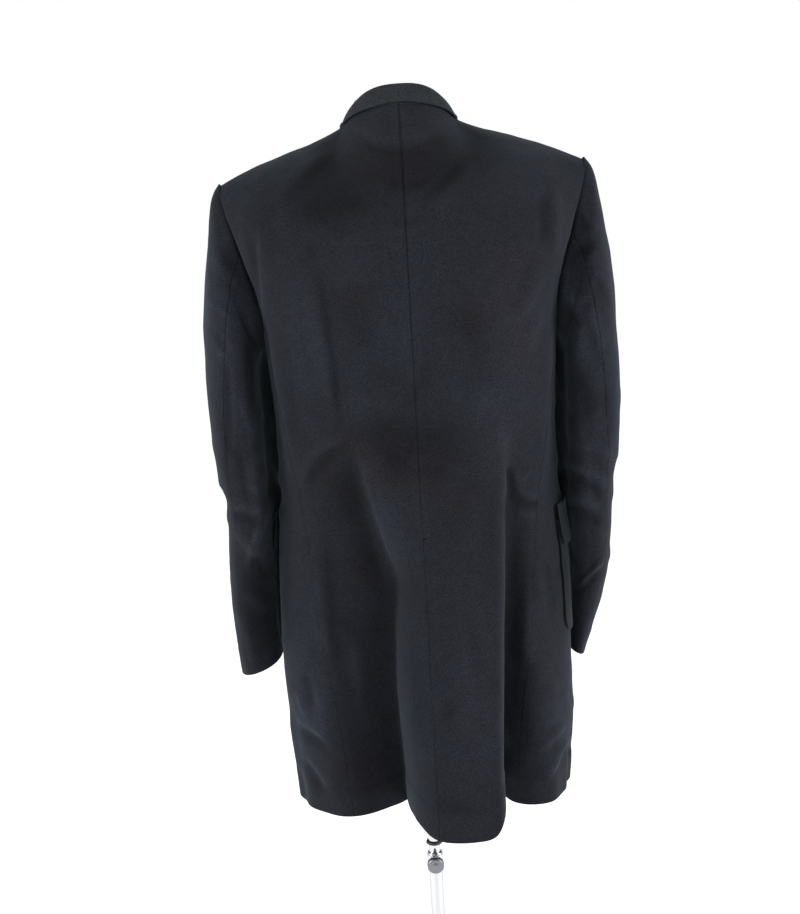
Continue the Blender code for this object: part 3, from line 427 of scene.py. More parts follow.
# Angles where the flare turns back, how far it stands out, and how deep the valleys beside it are
Flare = namedtuple("Flare", "height left right proud left_valley right_valley")
FLARE = (
    Flare(0.592, 13.5, -27.0, 0.082, 0.045, 0.030),
    Flare(0.650, 13.8, -27.4, 0.069, 0.043, 0.028),
    Flare(0.755, 14.5, -29.0, 0.050, 0.036, 0.025),
    Flare(0.845, 13.0, -31.0, 0.034, 0.028, 0.020),
    Flare(0.910, 11.5, -33.0, 0.021, 0.018, 0.016),
    Flare(0.960, 14.5, -34.0, 0.012, 0.009, 0.011),
    Flare(1.020, 20.0, -35.0, 0.005, 0.004, 0.006),
    Flare(1.090, 26.0, -35.5, 0.000, 0.000, 0.000),
)
# How far the hem is lifted at the flare's corners, and each corner's angle, width and share of it
HEM_CORNER, CORNER_HIGH = 0.034, 0.150
HEM_CORNERS = ((-24.5, 5.0, 1.0), (9.0, 5.0, 0.35))
# Soft folds: angle and height of both ends, width in degrees and rise
Fold = namedtuple("Fold", "low_angle low top_angle top width rise")
FOLDS = (
    Fold(-49.0, 0.58, -47.0, 0.86, 9.0, 0.010),
    Fold(38.0, 0.58, 40.0, 0.88, 9.0, 0.006),
    Fold(72.0, 0.58, 70.0, 0.80, 9.0, -0.006),
    Fold(-78.0, 0.58, -74.0, 0.82, 8.0, -0.006),
    Fold(118.0, 0.58, 112.0, 0.78, 11.0, -0.007),
    Fold(-122.0, 0.58, -114.0, 0.80, 11.0, -0.007),
    Fold(142.0, 0.58, 140.0, 0.84, 12.0, 0.008),
    Fold(-144.0, 0.58, -140.0, 0.82, 12.0, 0.007),
    Fold(55.0, 1.02, 58.0, 1.24, 8.0, 0.004),
    Fold(-56.0, 1.00, -60.0, 1.24, 8.0, 0.004),
)
# The seam between back and side panel
Seam = namedtuple("Seam", "height angle")
SIDE_BACK_SEAM = (
    Seam(0.592, 34.0), Seam(0.720, 36.5), Seam(0.850, 42.5), Seam(0.940, 46.5),
    Seam(1.014, 52.5), Seam(1.100, 60.0), Seam(1.180, 68.0), Seam(1.240, 74.4),
)
SIDE_FRONT_SEAM, SIDE_BACK_TOP = 93.0, 1.240


def ease(t):
    t = np.clip(t, 0.0, 1.0)
    return t * t * (3 - 2 * t)


def hump(distance, wide):
    """One at no distance, falling away smoothly over a width."""
    return np.exp(-((distance / wide) ** 2))


def unit(vectors):
    return vectors / np.maximum(np.linalg.norm(vectors, axis=-1, keepdims=True), 1e-12)


FLANK, ROUND, VALLEY = (25.0, 10.0), (3.3, 2.5), (13.0, 8.0)


def flare_rise(angle, height):
    """The deep flare in the middle of the skirt's back and the valleys beside it, left and right."""
    left, right = along(FLARE, "left", height), along(FLARE, "right", height)
    to_left = 1 - (1 - np.clip((left - angle) / FLANK[0], 0, 1)) ** ROUND[0]
    to_right = 1 - (1 - np.clip((angle - right) / FLANK[1], 0, 1)) ** ROUND[1]
    crown = np.minimum(to_left, to_right)
    on_left = angle > (left + right) / 2
    past_left = np.maximum(angle - left, 0) / VALLEY[0]
    past_right = np.maximum(right - angle, 0) / VALLEY[1]
    past = np.where(on_left, past_left, past_right)
    valley = np.where(on_left, along(FLARE, "left_valley", height), along(FLARE, "right_valley", height))
    return along(FLARE, "proud", height) * crown - valley * (1 - crown) * hump(past, 1.0)


def fold_rise(angle, height):
    rise = 0.0
    for fold in FOLDS:
        share = (height - fold.low) / (fold.top - fold.low)
        centre = fold.low_angle + (fold.top_angle - fold.low_angle) * share
        strength = 1 - ease(share) if fold.top < YOKE - 0.15 else ease(4 * share) * ease(4 * (1 - share))
        rise = rise + fold.rise * strength * hump(angle - centre, fold.width)
    return rise


def hem_lift(angle, height):
    """The hem rises where the flare turns back into the valleys."""
    corner = sum(share * hump(angle - centre, width) for centre, width, share in HEM_CORNERS)
    return HEM_CORNER * corner * (1 - ease((height - HEM) / CORNER_HIGH))


def skin(angle, height):
    """The coat's outer surface below the yoke."""
    angle, height = np.broadcast_arrays(np.asarray(angle, float), np.asarray(height, float))
    point, out = oval(COAT, angle, height)
    turned_angle = (angle + 180.0) % 360.0 - 180.0
    point = point + out * (flare_rise(turned_angle, height) + fold_rise(turned_angle, height))[..., None]
    point[..., 2] += hem_lift(turned_angle, height)
    return point


def armhole_angle(height, reach):
    drop = (YOKE - height) / (YOKE - ARMHOLE_BOTTOM)
    return reach * np.sqrt(np.maximum(1 - drop * drop, 0.0))


def back_edge(height):
    seam = along(SIDE_BACK_SEAM, "angle", height)
    return np.where(height < SIDE_BACK_TOP, seam, 90.0 - armhole_angle(height, ARMHOLE_BACK))


def shoulder_line(x):
    reach = x - NECK_HALF
    hollow = NECK_RISE * (1 - np.exp(-reach / NECK_RISE_REACH))
    height = NECK_POINT - hollow - SHOULDER_SLOPE * reach - SHOULDER_BEND * reach * reach
    return np.stack([x, -0.02 * reach, height], -1)


def top_edge(across):
    """A back panel's top edge, from the centre back round the neck and along the shoulder."""
    turn = math.pi / 2 * np.clip(across / NECK_SHARE, 0.0, 1.0)
    fall = (NECK_TOP - NECK_POINT) * np.maximum(1 - np.cos(turn), 0.0) ** 0.9
    neck = np.stack([NECK_HALF * np.sin(turn), NECK_BACK * np.cos(turn), NECK_TOP - fall], -1)
    share = (across - NECK_SHARE) / (1 - NECK_SHARE)
    shoulder = shoulder_line(NECK_HALF + (SHOULDER_HALF - NECK_HALF) * share)
    return np.where((across < NECK_SHARE)[..., None], neck, shoulder)


def over_yoke(column, level, end, arrive):
    """Below the yoke a panel follows the form; above it, it runs on over the shoulder to its top edge."""
    start = column(np.full_like(level, YOKE))
    leave = unit(start - column(np.full_like(level, YOKE - 2 * STEP)))
    reach = np.linalg.norm(end - start, axis=-1, keepdims=True)
    over = hermite(start, leave * reach, end, arrive * reach, np.clip(level - YOKE, 0.0, 2.0)[..., None])
    return np.where((level <= YOKE)[..., None], column(np.minimum(level, YOKE)), over)


NECK_LEAN, NECK_CLIMB, NECK_PART, NECK_BLEND = -0.42, 0.88, 0.20, 0.32
OVER_SHOULDER = np.array([0.02, -1.0, 0.05])


def back_point(across, level, hand=1):
    """A point of a back panel: across from the centre seam to the side, level from hem to top edge."""
    across, level = np.broadcast_arrays(np.asarray(across, float), np.asarray(level, float))
    over = ease((across - NECK_PART) / NECK_BLEND)[..., None]
    turn = math.pi / 2 * np.clip(across / NECK_SHARE, 0.0, 1.0)
    at_neck = np.stack([
        NECK_LEAN * np.sin(turn), NECK_LEAN * np.cos(turn), np.full_like(turn, NECK_CLIMB),
    ], -1)
    arrive = at_neck * (1 - over) + OVER_SHOULDER * over
    mirror = np.array([hand, 1.0, 1.0])
    return over_yoke(
        lambda height: skin(hand * across * back_edge(height), height), level, top_edge(across) * mirror,
        arrive * mirror,
    )


def hung(point):
    """Puts points where the coat hangs on its pole: a little aside, with one shoulder lower."""
    drop = SHOULDER_DROP * ease((point[..., 2] - DROP_FROM) / DROP_OVER) * point[..., 0]
    return point + np.stack([np.full_like(drop, HANG), 0 * drop, -drop], -1)


# Creases are drawn on four sides of the coat, each from one point to another. In millimetres: where
# it starts and ends, from the centre back (or from the shoulder seam) and above the floor, how far it bows
# sideways, its width and its rise. The last number makes one flank steeper.
CREASES = {
    "back": (
        # Strain under the collar and across the yoke
        (34, 1476, -38, 1470, -12, 4.5, -1.8, 0),
        (63, 1461, -57, 1449, -24, 6.5, -2.4, 0),
        (60, 1470, -54, 1459, -22, 5, 2.2, 0),
        (50, 1452, -52, 1440, -14, 5, 2, 0.3),
        (-40, 1462, -112, 1438, 6, 4.5, 2, 0.3),
        (50, 1462, 110, 1434, -6, 4.5, 2, 0.3),
        (30, 1403, -40, 1402, -14, 5.5, -2, 0),
        (22, 1358, -21, 1358, -8, 5, -1.6, 0),
        (-80, 1427, -10, 1366, 6, 9, -2.3, 0.3),
        (-92, 1418, -20, 1358, 6, 10, 1.8, 0),
        (-130, 1430, -60, 1392, 6, 12, -1.8, 0),
        (158, 1380, 66, 1440, 8, 9, 2.6, 0.3),
        (150, 1370, 60, 1425, 8, 14, -2, 0),
        (128, 1366, 30, 1372, 6, 12, -1.6, 0),
        (173, 1362, 178, 1232, 1, 5.5, 2.6, 0.4),
        (186, 1345, 190, 1250, 2, 7, -2.2, 0),
        (-163, 1376, -162, 1306, 2, 8, -3, 0),
        (-178, 1388, -176, 1290, 2, 6.5, 3, 0.3),
        (-163, 1296, -120, 1218, 4, 9, 2.2, 0),
        (-150, 1300, -108, 1226, 4, 11, -1.6, 0),
        (-158, 1246, -138, 1184, 3, 7, 1.8, 0),
        (-182, 1290, -170, 1190, 3, 8, -2, 0.3),
        # Middle of the back
        (109, 1322, 91, 1090, 2, 5.5, -3, 0.3),
        (120, 1300, 103, 1120, 2, 10, 1.8, 0),
        (100, 1324, 34, 1330, 3, 5, 1.2, 0),
        (-22, 1190, 18, 1120, 3, 6.5, -1.8, 0),
        (70, 1290, 60, 1190, 4, 13, -1.4, 0),
        (154, 1190, 150, 1080, 3, 9, -1.8, 0),
        (-60, 1260, -85, 1130, 6, 15, -1.8, 0),
        # Small of the back: an arch at the left, a pinch at the right, and the worn patch between them
        (147, 1028, 80, 1098, 13.7, 6.5, 2.6, 0.4),
        (138, 1020, 74, 1088, 13.7, 8, -2.8, 0),
        (72, 1104, 27, 900, -3.5, 15, 5, 0.6),
        (88, 1092, 48, 880, -3.5, 15, -3, -0.4),
        (-107.5, 1052, -110.5, 988, 0, 4.5, -4, 0.3),
        (-100, 1110, -102, 990, 1, 9, 3, 0.3),
        (-112, 1034, -136, 1026, -3, 5, 2.4, 0.3),
        (-115, 1022, -150, 996, -4, 5, 3, 0.4),
        (-110, 1002, -152, 990, -2, 5.5, -3.4, 0),
        (-114, 986, -146, 978, -2, 6, 2, 0),
        (20, 1135, 80, 1150, 8, 18, 1.4, 0),
        (-30, 1150, -95, 1128, -8, 18, 1.4, 0),
        (28, 1060, -70, 1040, 12, 10, 1.4, 0),
        (-78, 1030, -60, 930, -6, 8, 1.4, 0),
        # Skirt
        (116, 992, 115, 772, -5, 7, -1.9, 0.3),
        (126, 940, 130, 790, -4, 10, 2, 0),
        (98, 860, 86, 700, 3, 10, 1.8, 0),
        (180, 716, 132, 700, 4, 7, 3.4, 0.3),
        (178, 702, 134, 680, 4, 8, -3.4, 0),
        (170, 760, 152, 712, -4, 7, 3.2, 0.3),
        (162, 790, 156, 730, 4, 7, -3, 0),
        (146, 780, 140, 690, 3, 8, 2, 0),
        (174, 664, 146, 612, 3, 9, -3, 0),
        (164, 668, 136, 626, 3, 8, 2.6, 0.3),
        (-140, 622, -185, 664, 5, 7, 4, 0.3),
        (-130, 664, -178, 690, 3, 6, 2.8, 0),
        (-165, 738, -184, 690, 3, 6, 3.6, 0.3),
        (-166, 656, -180, 624, 2, 7, -3.4, 0),
        (-152, 706, -162, 646, -3, 9, -2.6, 0),
        (-128, 900, -118, 760, 3, 9, 2.4, 0),
        (-150, 930, -160, 830, 3, 8, -2.2, 0),
        (20, 860, 16, 700, 2, 12, -2, 0),
        (-44, 900, -70, 780, -3, 8, -1.8, 0),
        (10, 772, -86, 762, -8, 6, 1.6, 0.3),
        (-70, 720, -92, 660, 4, 6, 2.2, 0.3),
        (-14, 758, -28, 750, 0, 6, -2, 0),
        (10, 640, -50, 628, 4, 10, -2, 0),
        # Wearer's left sleeve
        (195, 1257, 211, 1047, 2, 4.5, 2.6, 0.3),
        (225, 1204, 237, 1050, 2, 5, -2.8, 0),
        (208, 1212, 242, 1200, 4, 5.5, 2.2, 0),
        (206, 1082, 186, 1006, 3, 5.5, 4.4, 0.3),
        (186, 1014, 230, 916, -2, 6, 4.6, 0.4),
        (196, 1060, 178, 1000, 3, 6, -3.4, 0),
        (240, 1007, 196, 990, 4, 5.5, 3.4, 0.3),
        (241, 994, 200, 972, 5, 7, -3.4, 0),
        (238, 972, 214, 940, 3, 6, 2.6, 0),
        (226, 1090, 212, 1000, 4, 7, -2.6, 0),
        (240, 1330, 206, 1270, 4, 7, 1.8, 0),
        (232, 890, 206, 850, 3, 8, 2.2, 0),
        (244, 870, 232, 780, 3, 7, 1.8, 0),
        (252, 1268, 214, 1238, 3, 4, 1.6, 0.3),
        (250, 1236, 220, 1196, 3, 4.5, -1.8, 0),
        (214, 1150, 204, 1086, -2, 3.5, 2, 0.3),
        (222, 1040, 200, 1014, 2, 3.5, 1.8, 0.3),
        (232, 958, 200, 930, -2, 4, 2, 0.3),
        (214, 946, 196, 890, -2, 4, -2, 0),
        # Wearer's right sleeve
        (-214, 1350, -238, 1318, -3, 3.5, 1.8, 0.3),
        (-222, 1282, -246, 1252, -3, 3.8, 1.8, 0.3),
        (-228, 1268, -250, 1226, -3, 4.5, -1.8, 0),
        (-200, 1262, -214, 1196, -4, 3.4, 2.2, 0.3),
        (-226, 1200, -240, 1150, -2, 3.4, 1.8, 0.3),
        (-214, 1104, -240, 1080, 3, 3.6, 1.8, 0.3),
        (-198, 1140, -206, 1060, 3, 3.6, 2.2, 0.3),
        (-222, 1012, -246, 990, 2, 3.8, 1.8, 0.3),
        (-206, 950, -236, 930, 3, 3.6, 2, 0.3),
        (-196, 1312, -236, 1330, -3, 6, 2.8, 0.3),
        (-196, 1296, -236, 1310, -3, 6, -2.4, 0),
        (-200, 1290, -232, 1288, -3, 6, 2.2, 0.3),
        (-186, 1258, -220, 1236, -5, 6, 3.6, 0.3),
        (-190, 1240, -214, 1206, -4, 8, -4.4, 0),
        (-218, 1238, -238, 1176, -4, 6.5, 4, 0.4),
        (-206, 1210, -222, 1120, -4, 7, 3.2, 0.3),
        (-216, 1170, -210, 1080, -3, 10, -4, 0),
        (-188, 1190, -201, 1086, -6, 6, 3.4, 0.4),
        (-236, 1140, -244, 1060, -3, 8, -2, 0),
        (-200, 1060, -246, 1036, 4, 6.5, 3.2, 0.4),
        (-192, 1034, -236, 998, 3, 6, 3.8, 0.4),
        (-190, 1020, -230, 984, 4, 7, -3.6, 0),
        (-179, 1000, -226, 966, 4, 7, 3.4, 0.3),
        (-190, 976, -228, 944, 3, 9, -3.4, 0),
        (-236, 910, -194, 846, -3, 3.2, 4.6, 0.5),
        (-230, 892, -188, 834, -3, 6, -3.6, 0),
    ),
    "front": (
        # Drag from the top button, folds over the pockets and under the lapels
        (30, 1170, 120, 1215, 6, 10, 2.4, 0.3),
        (-30, 1168, -122, 1205, -6, 10, 2.4, 0.3),
        (32, 1158, 135, 1140, -6, 12, -2.2, 0),
        (-36, 1156, -130, 1146, 6, 12, -2.2, 0),
        (30, 1060, 110, 1085, 4, 9, 2.4, 0.3),
        (-34, 1052, -118, 1072, -4, 9, 2.2, 0.3),
        (28, 950, 95, 905, -6, 12, 2.2, 0),
        (-30, 940, -90, 890, 6, 12, 2, 0),
        (150, 1370, 132, 1250, 4, 10, 2.6, 0.3),
        (-152, 1365, -134, 1262, -4, 10, 2.6, 0.3),
        (60, 760, 70, 640, 5, 16, 2.2, 0),
        (-66, 780, -60, 650, -5, 18, -2.2, 0),
        (130, 700, 150, 630, 4, 11, 2.8, 0.3),
        (-128, 740, -156, 680, -4, 11, 2.6, 0.3),
        (216, 1070, 196, 1010, 4, 8, 3.2, 0.3),
        (-218, 1064, -198, 1000, -4, 8, 3.2, 0.3),
        (244, 1020, 200, 988, 3, 9, -3.4, 0),
        (-244, 1012, -200, 980, -3, 9, -3.4, 0),
    ),
    "left": (
        # Elbow and forearm, and the skirt beneath
        (50, 1030, -40, 1005, 6, 9, 2, 0.4),
        (46, 1008, -46, 986, 5, 12, -2.2, 0),
        (40, 985, -56, 950, 6, 9, 1.6, 0.3),
        (36, 1085, -30, 1048, 5, 12, 1.2, 0),
        (10, 1330, 20, 1190, 6, 14, 1.6, 0),
        (-10, 900, -66, 860, 4, 10, 2.2, 0),
        (20, 720, 30, 620, 4, 12, 2.6, 0),
        (-40, 760, -50, 640, 4, 14, -2.6, 0),
    ),
    "right": (
        # Elbow and forearm, and the skirt beneath
        (50, 1040, -42, 1012, 6, 10, 1.3, 0.4),
        (46, 1016, -46, 990, 5, 13, -1.3, 0),
        (38, 990, -60, 945, 6, 10, 1.3, 0.3),
        (30, 910, -80, 850, 5, 10, 1.8, 0.3),
        (14, 1330, 22, 1200, -6, 14, 1.6, 0),
        (40, 1120, -30, 1080, 5, 12, 1.2, 0),
        (30, 740, 20, 630, 4, 12, 2.8, 0),
        (-50, 750, -44, 630, 4, 14, -2.6, 0),
    ),
}
LOOKING = {"back": (0, 1, 0), "front": (0, -1, 0), "left": (1, 0, 0), "right": (-1, 0, 0)}
LATTICE = np.random.default_rng(11).uniform(-1.0, 1.0, (48, 48, 48))


def unevenness(points, size):
    """Soft even noise through space, in cells of the given size."""
    cell = points / size
    low = np.floor(cell).astype(int)
    t = ease(cell - low)
    total = np.zeros(points.shape[:-1])
    for corner in np.ndindex(2, 2, 2):
        share = np.prod(np.where(np.array(corner, bool), t, 1 - t), axis=-1)
        at = (low + corner) % len(LATTICE)
        total += share * LATTICE[at[..., 0], at[..., 1], at[..., 2]]
    return total


def seen_from(side, points, out):
    """How far along a side of the coat each point lies, and how squarely the cloth faces that side."""
    view = np.array(LOOKING[side], float)
    return points[..., 0] - HANG if view[1] else points[..., 1], out @ view


# The cotton's own unevenness: size of its lumps, their height, how they stretch up the cloth, and a shift
UNEVEN = (
    (0.060, 0.0012, 0.6, 0.0), (0.022, 0.0005, 1, 0.0), (0.011, 0.0002, 0.22, 0.0), (0.009, 0.0001, 1, 0.3),
)


def creased(points, out):
    """How far each point stands out, from the creases alone, and with the cloth's unevenness."""
    rise = np.zeros(points.shape[:-1])
    for side, rows in CREASES.items():
        along_side, facing = seen_from(side, points, out)
        for *sizes, lean in rows:
            u0, z0, u1, z1, bow, width, high = (size / 1000 for size in sizes)
            run, climb = u1 - u0, z1 - z0
            length = math.hypot(run, climb)
            du, dz = along_side - u0, points[..., 2] - z0
            t = (du * run + dz * climb) / length**2
            off = (du * climb - dz * run) / length - bow * 4 * t * (1 - t)
            wide = width * np.where(off > 0, 1 + lean, 1 - lean)
            strength = ease(3.5 * t) * ease(3.5 * (1 - t)) * np.clip(1.6 * facing, 0.0, 1.0)
            rise += high * strength * hump(np.clip(off / wide, -6, 6), 1.0)
    soft = sum(
        unevenness((points + shift) * (1, 1, stretch), size) * high for size, high, stretch, shift in UNEVEN
    )
    return rise, rise + soft


# Patches on the same four sides where the cloth is drawn lighter or darker: partly nap brushed or rubbed,
# partly painted shade in hollows, valleys and towards the body, and painted light on lit ridges and edges.
# Centre and half size in millimetres, how much lighter or darker they are, and how much browner (above 0) or
# bluer.
PATCHES = {
    "back": (
        # Yoke
        (100, 1398, 70, 36, -0.13, 0.15),
        (-30, 1412, 56, 38, -0.13, 0.15),
        (0, 1462, 70, 16, 0.16, 0.05),
        (30, 1414, 100, 30, -0.11, 0.15),
        (-62, 1402, 36, 30, -0.1, 0.2),
        (70, 1366, 70, 18, -0.12, 0.15),
        (176, 1340, 16, 50, -0.1, 0),
        (-140, 1396, 56, 32, 0.16, 0),
        # Middle of the back
        (72, 1300, 26, 26, 0.12, -0.1),
        (128, 1220, 20, 75, 0.12, -0.35),
        (12, 1226, 30, 50, 0.08, -0.35),
        (70, 1170, 30, 60, 0.04, -0.3),
        (108, 1315, 7, 9, -0.2, 0.4),
        (-62, 1240, 18, 26, -0.08, 0.3),
        (-105, 1240, 50, 75, 0.04, 0.3),
        (-124, 1170, 46, 110, 0.18, 0.1),
        (-90, 1090, 26, 50, 0.14, 0.05),
        (45, 1165, 26, 18, -0.1, 0.2),
        (4, 1082, 66, 44, -0.28, 0.35),
        (40, 1050, 30, 26, -0.12, 0.3),
        (-60, 990, 50, 50, -0.06, 0.2),
        (106, 1020, 34, 40, -0.14, 0.1),
        # Skirt: painted shade in the valleys beside the flare and painted light on lit parts, with nap tones
        (86, 900, 40, 100, -0.16, 0.05),
        (118, 780, 26, 130, -0.18, 0.05),
        (64, 730, 20, 130, 0.14, 0.1),
        (22, 780, 28, 100, 0.04, -0.35),
        (-54, 790, 30, 130, 0.14, 0),
        (-30, 612, 40, 26, 0.06, 0.45),
        (-20, 754, 12, 8, -0.2, 0.3),
        (158, 730, 26, 120, 0.18, -0.3),
        (90, 652, 40, 30, -0.06, 0.45),
        (-158, 745, 22, 110, 0.16, 0.1),
        (-116, 800, 13, 150, -0.26, 0.1),
        # Sleeves: painted shade towards the body, and painted light outside and where it lifts shade
        (214, 858, 28, 70, -0.4, 0.1),
        (194, 1010, 16, 75, 0.4, 0),
        (232, 1240, 30, 140, 0.2, -0.15),
        (-204, 1232, 14, 60, 0.16, 0.1),
        (-196, 1180, 14, 90, 0.35, 0.1),
        (-196, 930, 18, 70, 0.15, 0.1),
        (-238, 1220, 22, 120, 0.08, 0.1),
    ),
    "front": (
        (110, 1270, 60, 70, 0.06, -0.5),
        (-105, 1240, 55, 80, 0.1, 0.5),
        (60, 1080, 60, 60, -0.16, 0.5),
        (-80, 1000, 50, 70, -0.14, 0.2),
        (90, 750, 60, 90, 0.1, -0.4),
        (-100, 700, 60, 70, -0.14, 0.6),
        (20, 660, 50, 50, 0.08, 0.3),
    ),
    "left": (
        (0, 1250, 50, 80, 0.12, -0.4),
        (-10, 1010, 50, 60, -0.2, 0.4),
        (10, 700, 60, 60, 0.1, -0.3),
    ),
    "right": (
        (10, 1230, 50, 80, 0.12, 0.3),
        (-10, 1000, 50, 60, -0.18, 0.3),
        (0, 700, 60, 60, 0.12, 0.1),
    ),
}


PATCH_CONTRAST, SLEEVE_PAINTED_LIGHT, SHADED = 1.35, 0.46, 0.55
SIDE_EDGE, SLEEVE_EDGE = 0.195, 0.175


def nap_and_painted_shade(points, out):
    """How light and how brown each point of the cloth is drawn: the nap's own tone, with painted shade and
    painted light.
    """
    shade, tone = np.ones(points.shape[:-1]), np.zeros(points.shape[:-1])
    stray_u, stray_z = unevenness(points, 0.030) * 0.012, unevenness(points + 0.5, 0.034) * 0.014
    # Patches: the nap's own tone, with painted shade and painted light
    for side, rows in PATCHES.items():
        along_side, facing = seen_from(side, points, out)
        for *sizes, lighter, browner in rows:
            u, z, wide, high = (size / 1000 for size in sizes)
            far = ((along_side + stray_u - u) / wide) ** 2 + ((points[..., 2] + stray_z - z) / high) ** 2
            strength = np.exp(-np.minimum(far, 40.0) ** 1.6) * np.clip(1.8 * facing, 0.0, 1.0)
            shade += PATCH_CONTRAST * lighter * strength
            tone += browner * strength
    across, height = points[..., 0] - HANG, points[..., 2]
    aside, outwards = np.abs(across), out[..., 0] * np.sign(across)
    # Painted shade: the cloth between each sleeve and the coat's side, and each sleeve's side that faces the
    # body, are drawn dark where shade falls
    painted_shade_beside = ease(3.0 * outwards - 1.6) * (aside < SIDE_EDGE) * ease((0.070 - np.abs(points[..., 1])) / 0.030)
    painted_shade_beside = painted_shade_beside * ease((height - 0.80) / 0.08) * ease((1.27 - height) / 0.06)
    painted_shade_facing_body = ease(-3.2 * outwards - 2.3) * (aside > SLEEVE_EDGE)
    painted_shade_facing_body = painted_shade_facing_body * np.where(across > 0, 0.75 * ease((height - 1.08) / 0.06), 0.10)
    # Painted light: the inner half of each sleeve, and its lower part where it faces the body, are drawn
    # lighter to lift the shade there
    inner = ease((0.238 - aside) / 0.030) * ease((out[..., 1] - 0.05) / 0.35)
    inner = inner + ease((-outwards - 0.25) / 0.35) * ease((1.09 - height) / 0.05)
    on_sleeve = ease((aside - 0.184) / 0.012) * ease((1.31 - height) / 0.06)
    shade = shade * (1 + SLEEVE_PAINTED_LIGHT * inner * on_sleeve)
    return shade * (1 - np.maximum(SHADED * painted_shade_beside, painted_shade_facing_body)), tone


def places(length, pitch, fine=(0.0004, 0.0011, 0.0022)):
    """Shares of a length for the lines of a grid: even in the middle, and close together at both ends."""
    count = max(int(round((length - 2 * fine[-1]) / pitch)), 2)
    middle = np.linspace(fine[-1], length - fine[-1], count + 1)
    ends = np.array((0.0,) + fine[:-1])
    return np.concatenate([ends, middle, length - ends[::-1]]) / length


def on_panel(point, across, level, facing):
    """Points of a panel as it hangs, and the true directions out of it."""
    points = hung(point(across, level))
    sideways = hung(point(across + STEP, level)) - hung(point(across - STEP, level))
    upwards = points - hung(point(across, level - STEP))
    return points, unit(np.cross(upwards, sideways)) * facing


def panel_grid(point, levels, shares, facing):
    """A panel's points and directions at each crossing of a grid."""
    return on_panel(point, *np.meshgrid(shares, levels), facing)


def relaxed(points, rounds, above):
    """Evens out a grid over the shoulder, as steam and a press do, and leaves its edges alone."""
    points = points.copy()
    held = (points[1:-1, 1:-1, 2:] > above).astype(float) * 0.5
    for _ in range(rounds):
        around = (points[2:, 1:-1] + points[:-2, 1:-1] + points[1:-1, 2:] + points[1:-1, :-2]) / 4
        points[1:-1, 1:-1] += (around - points[1:-1, 1:-1]) * held
    return points


def edge_distance(points, sides, tucked=0):
    """How far each point of a grid lies from the nearest named edge. Tucked rows lie past the bottom one."""
    across, up = lengths(points, 1), lengths(points, 0)
    far = {
        "first": across, "last": across[:, -1:] - across, "bottom": np.abs(up - up[tucked]),
        "top": up[-1:] - up,
    }
    return np.min([far[side] for side in sides], axis=0)


# The cotton's finish: a short nap that is brushed in patches, bluer where it lies and browner where it is
# rubbed. The colour is also lighter on ridges, as worn nap and painted highlight, and darker in crease
# troughs and seams, as painted shade, and it takes the painted shade and light of the patches through the
# shade attribute.

def group(name, takes, gives):
    """A shader node group with named inputs and outputs."""
    made = bpy.data.node_groups.new(name, "ShaderNodeTree")
    for socket, kind in takes:
        made.interface.new_socket(socket, in_out="INPUT", socket_type=kind)
    for socket, kind in gives:
        made.interface.new_socket(socket, in_out="OUTPUT", socket_type=kind)
    return made, made.nodes.new("NodeGroupInput"), made.nodes.new("NodeGroupOutput")


nap, nap_in, nap_out = group("nap_colour_and_painted_shade", [
    ("Place", "NodeSocketVector"), ("Relief", "NodeSocketFloat"), ("Shade", "NodeSocketFloat"),
    ("Tone", "NodeSocketFloat"), ("Lying", "NodeSocketColor"), ("Rubbed", "NodeSocketColor"),
    ("Patches", "NodeSocketFloat"), ("Wear And Shade", "NodeSocketFloat"),
], [("Colour", "NodeSocketColor"), ("Height", "NodeSocketFloat")])
cloth_place = nap_in.outputs["Place"]
soft_patches = mottled(nap, cloth_place, nap_in.outputs["Patches"], 5.0, Roughness=0.62, Distortion=0.4)
patch_share = add(nap, "ShaderNodeMath", {
    0: nap_in.outputs["Tone"], 1: spread(nap, soft_patches, 0.0, 1.0),
}, operation="ADD", use_clamp=True)
nap_base = add(nap, "ShaderNodeMix", {
    0: patch_share.outputs["Value"], 6: nap_in.outputs["Lying"], 7: nap_in.outputs["Rubbed"],
}, data_type="RGBA")
strokes, fibres = mottled(nap, cloth_place, 85.0, 5.0), mottled(nap, cloth_place, 620.0)
# Colour scaled by the relief, as wear and painted shade, and by the painted shade and light of the shade
# attribute
wear_and_shade = add(nap, "ShaderNodeMath", {
    0: nap_in.outputs["Relief"], 1: nap_in.outputs["Wear And Shade"], 2: nap_in.outputs["Shade"],
}, operation="MULTIPLY_ADD")
tones = add(nap, "ShaderNodeMath", {
    0: spread(nap, strokes, 0.93, 1.08), 1: spread(nap, fibres, 0.60, 1.46),
}, operation="MULTIPLY")
tone = add(nap, "ShaderNodeMath", {
    0: tones.outputs["Value"], 1: wear_and_shade.outputs["Value"],
}, operation="MULTIPLY")
toned = add(nap, "ShaderNodeVectorMath", {
    0: nap_base.outputs[2], "Scale": tone.outputs["Value"],
}, operation="SCALE")
nap.links.new(toned.outputs["Vector"], nap_out.inputs["Colour"])
nap_height = add(nap, "ShaderNodeMath", {0: strokes, 1: 1.6, 2: fibres}, operation="MULTIPLY_ADD")
nap.links.new(nap_height.outputs["Value"], nap_out.inputs["Height"])


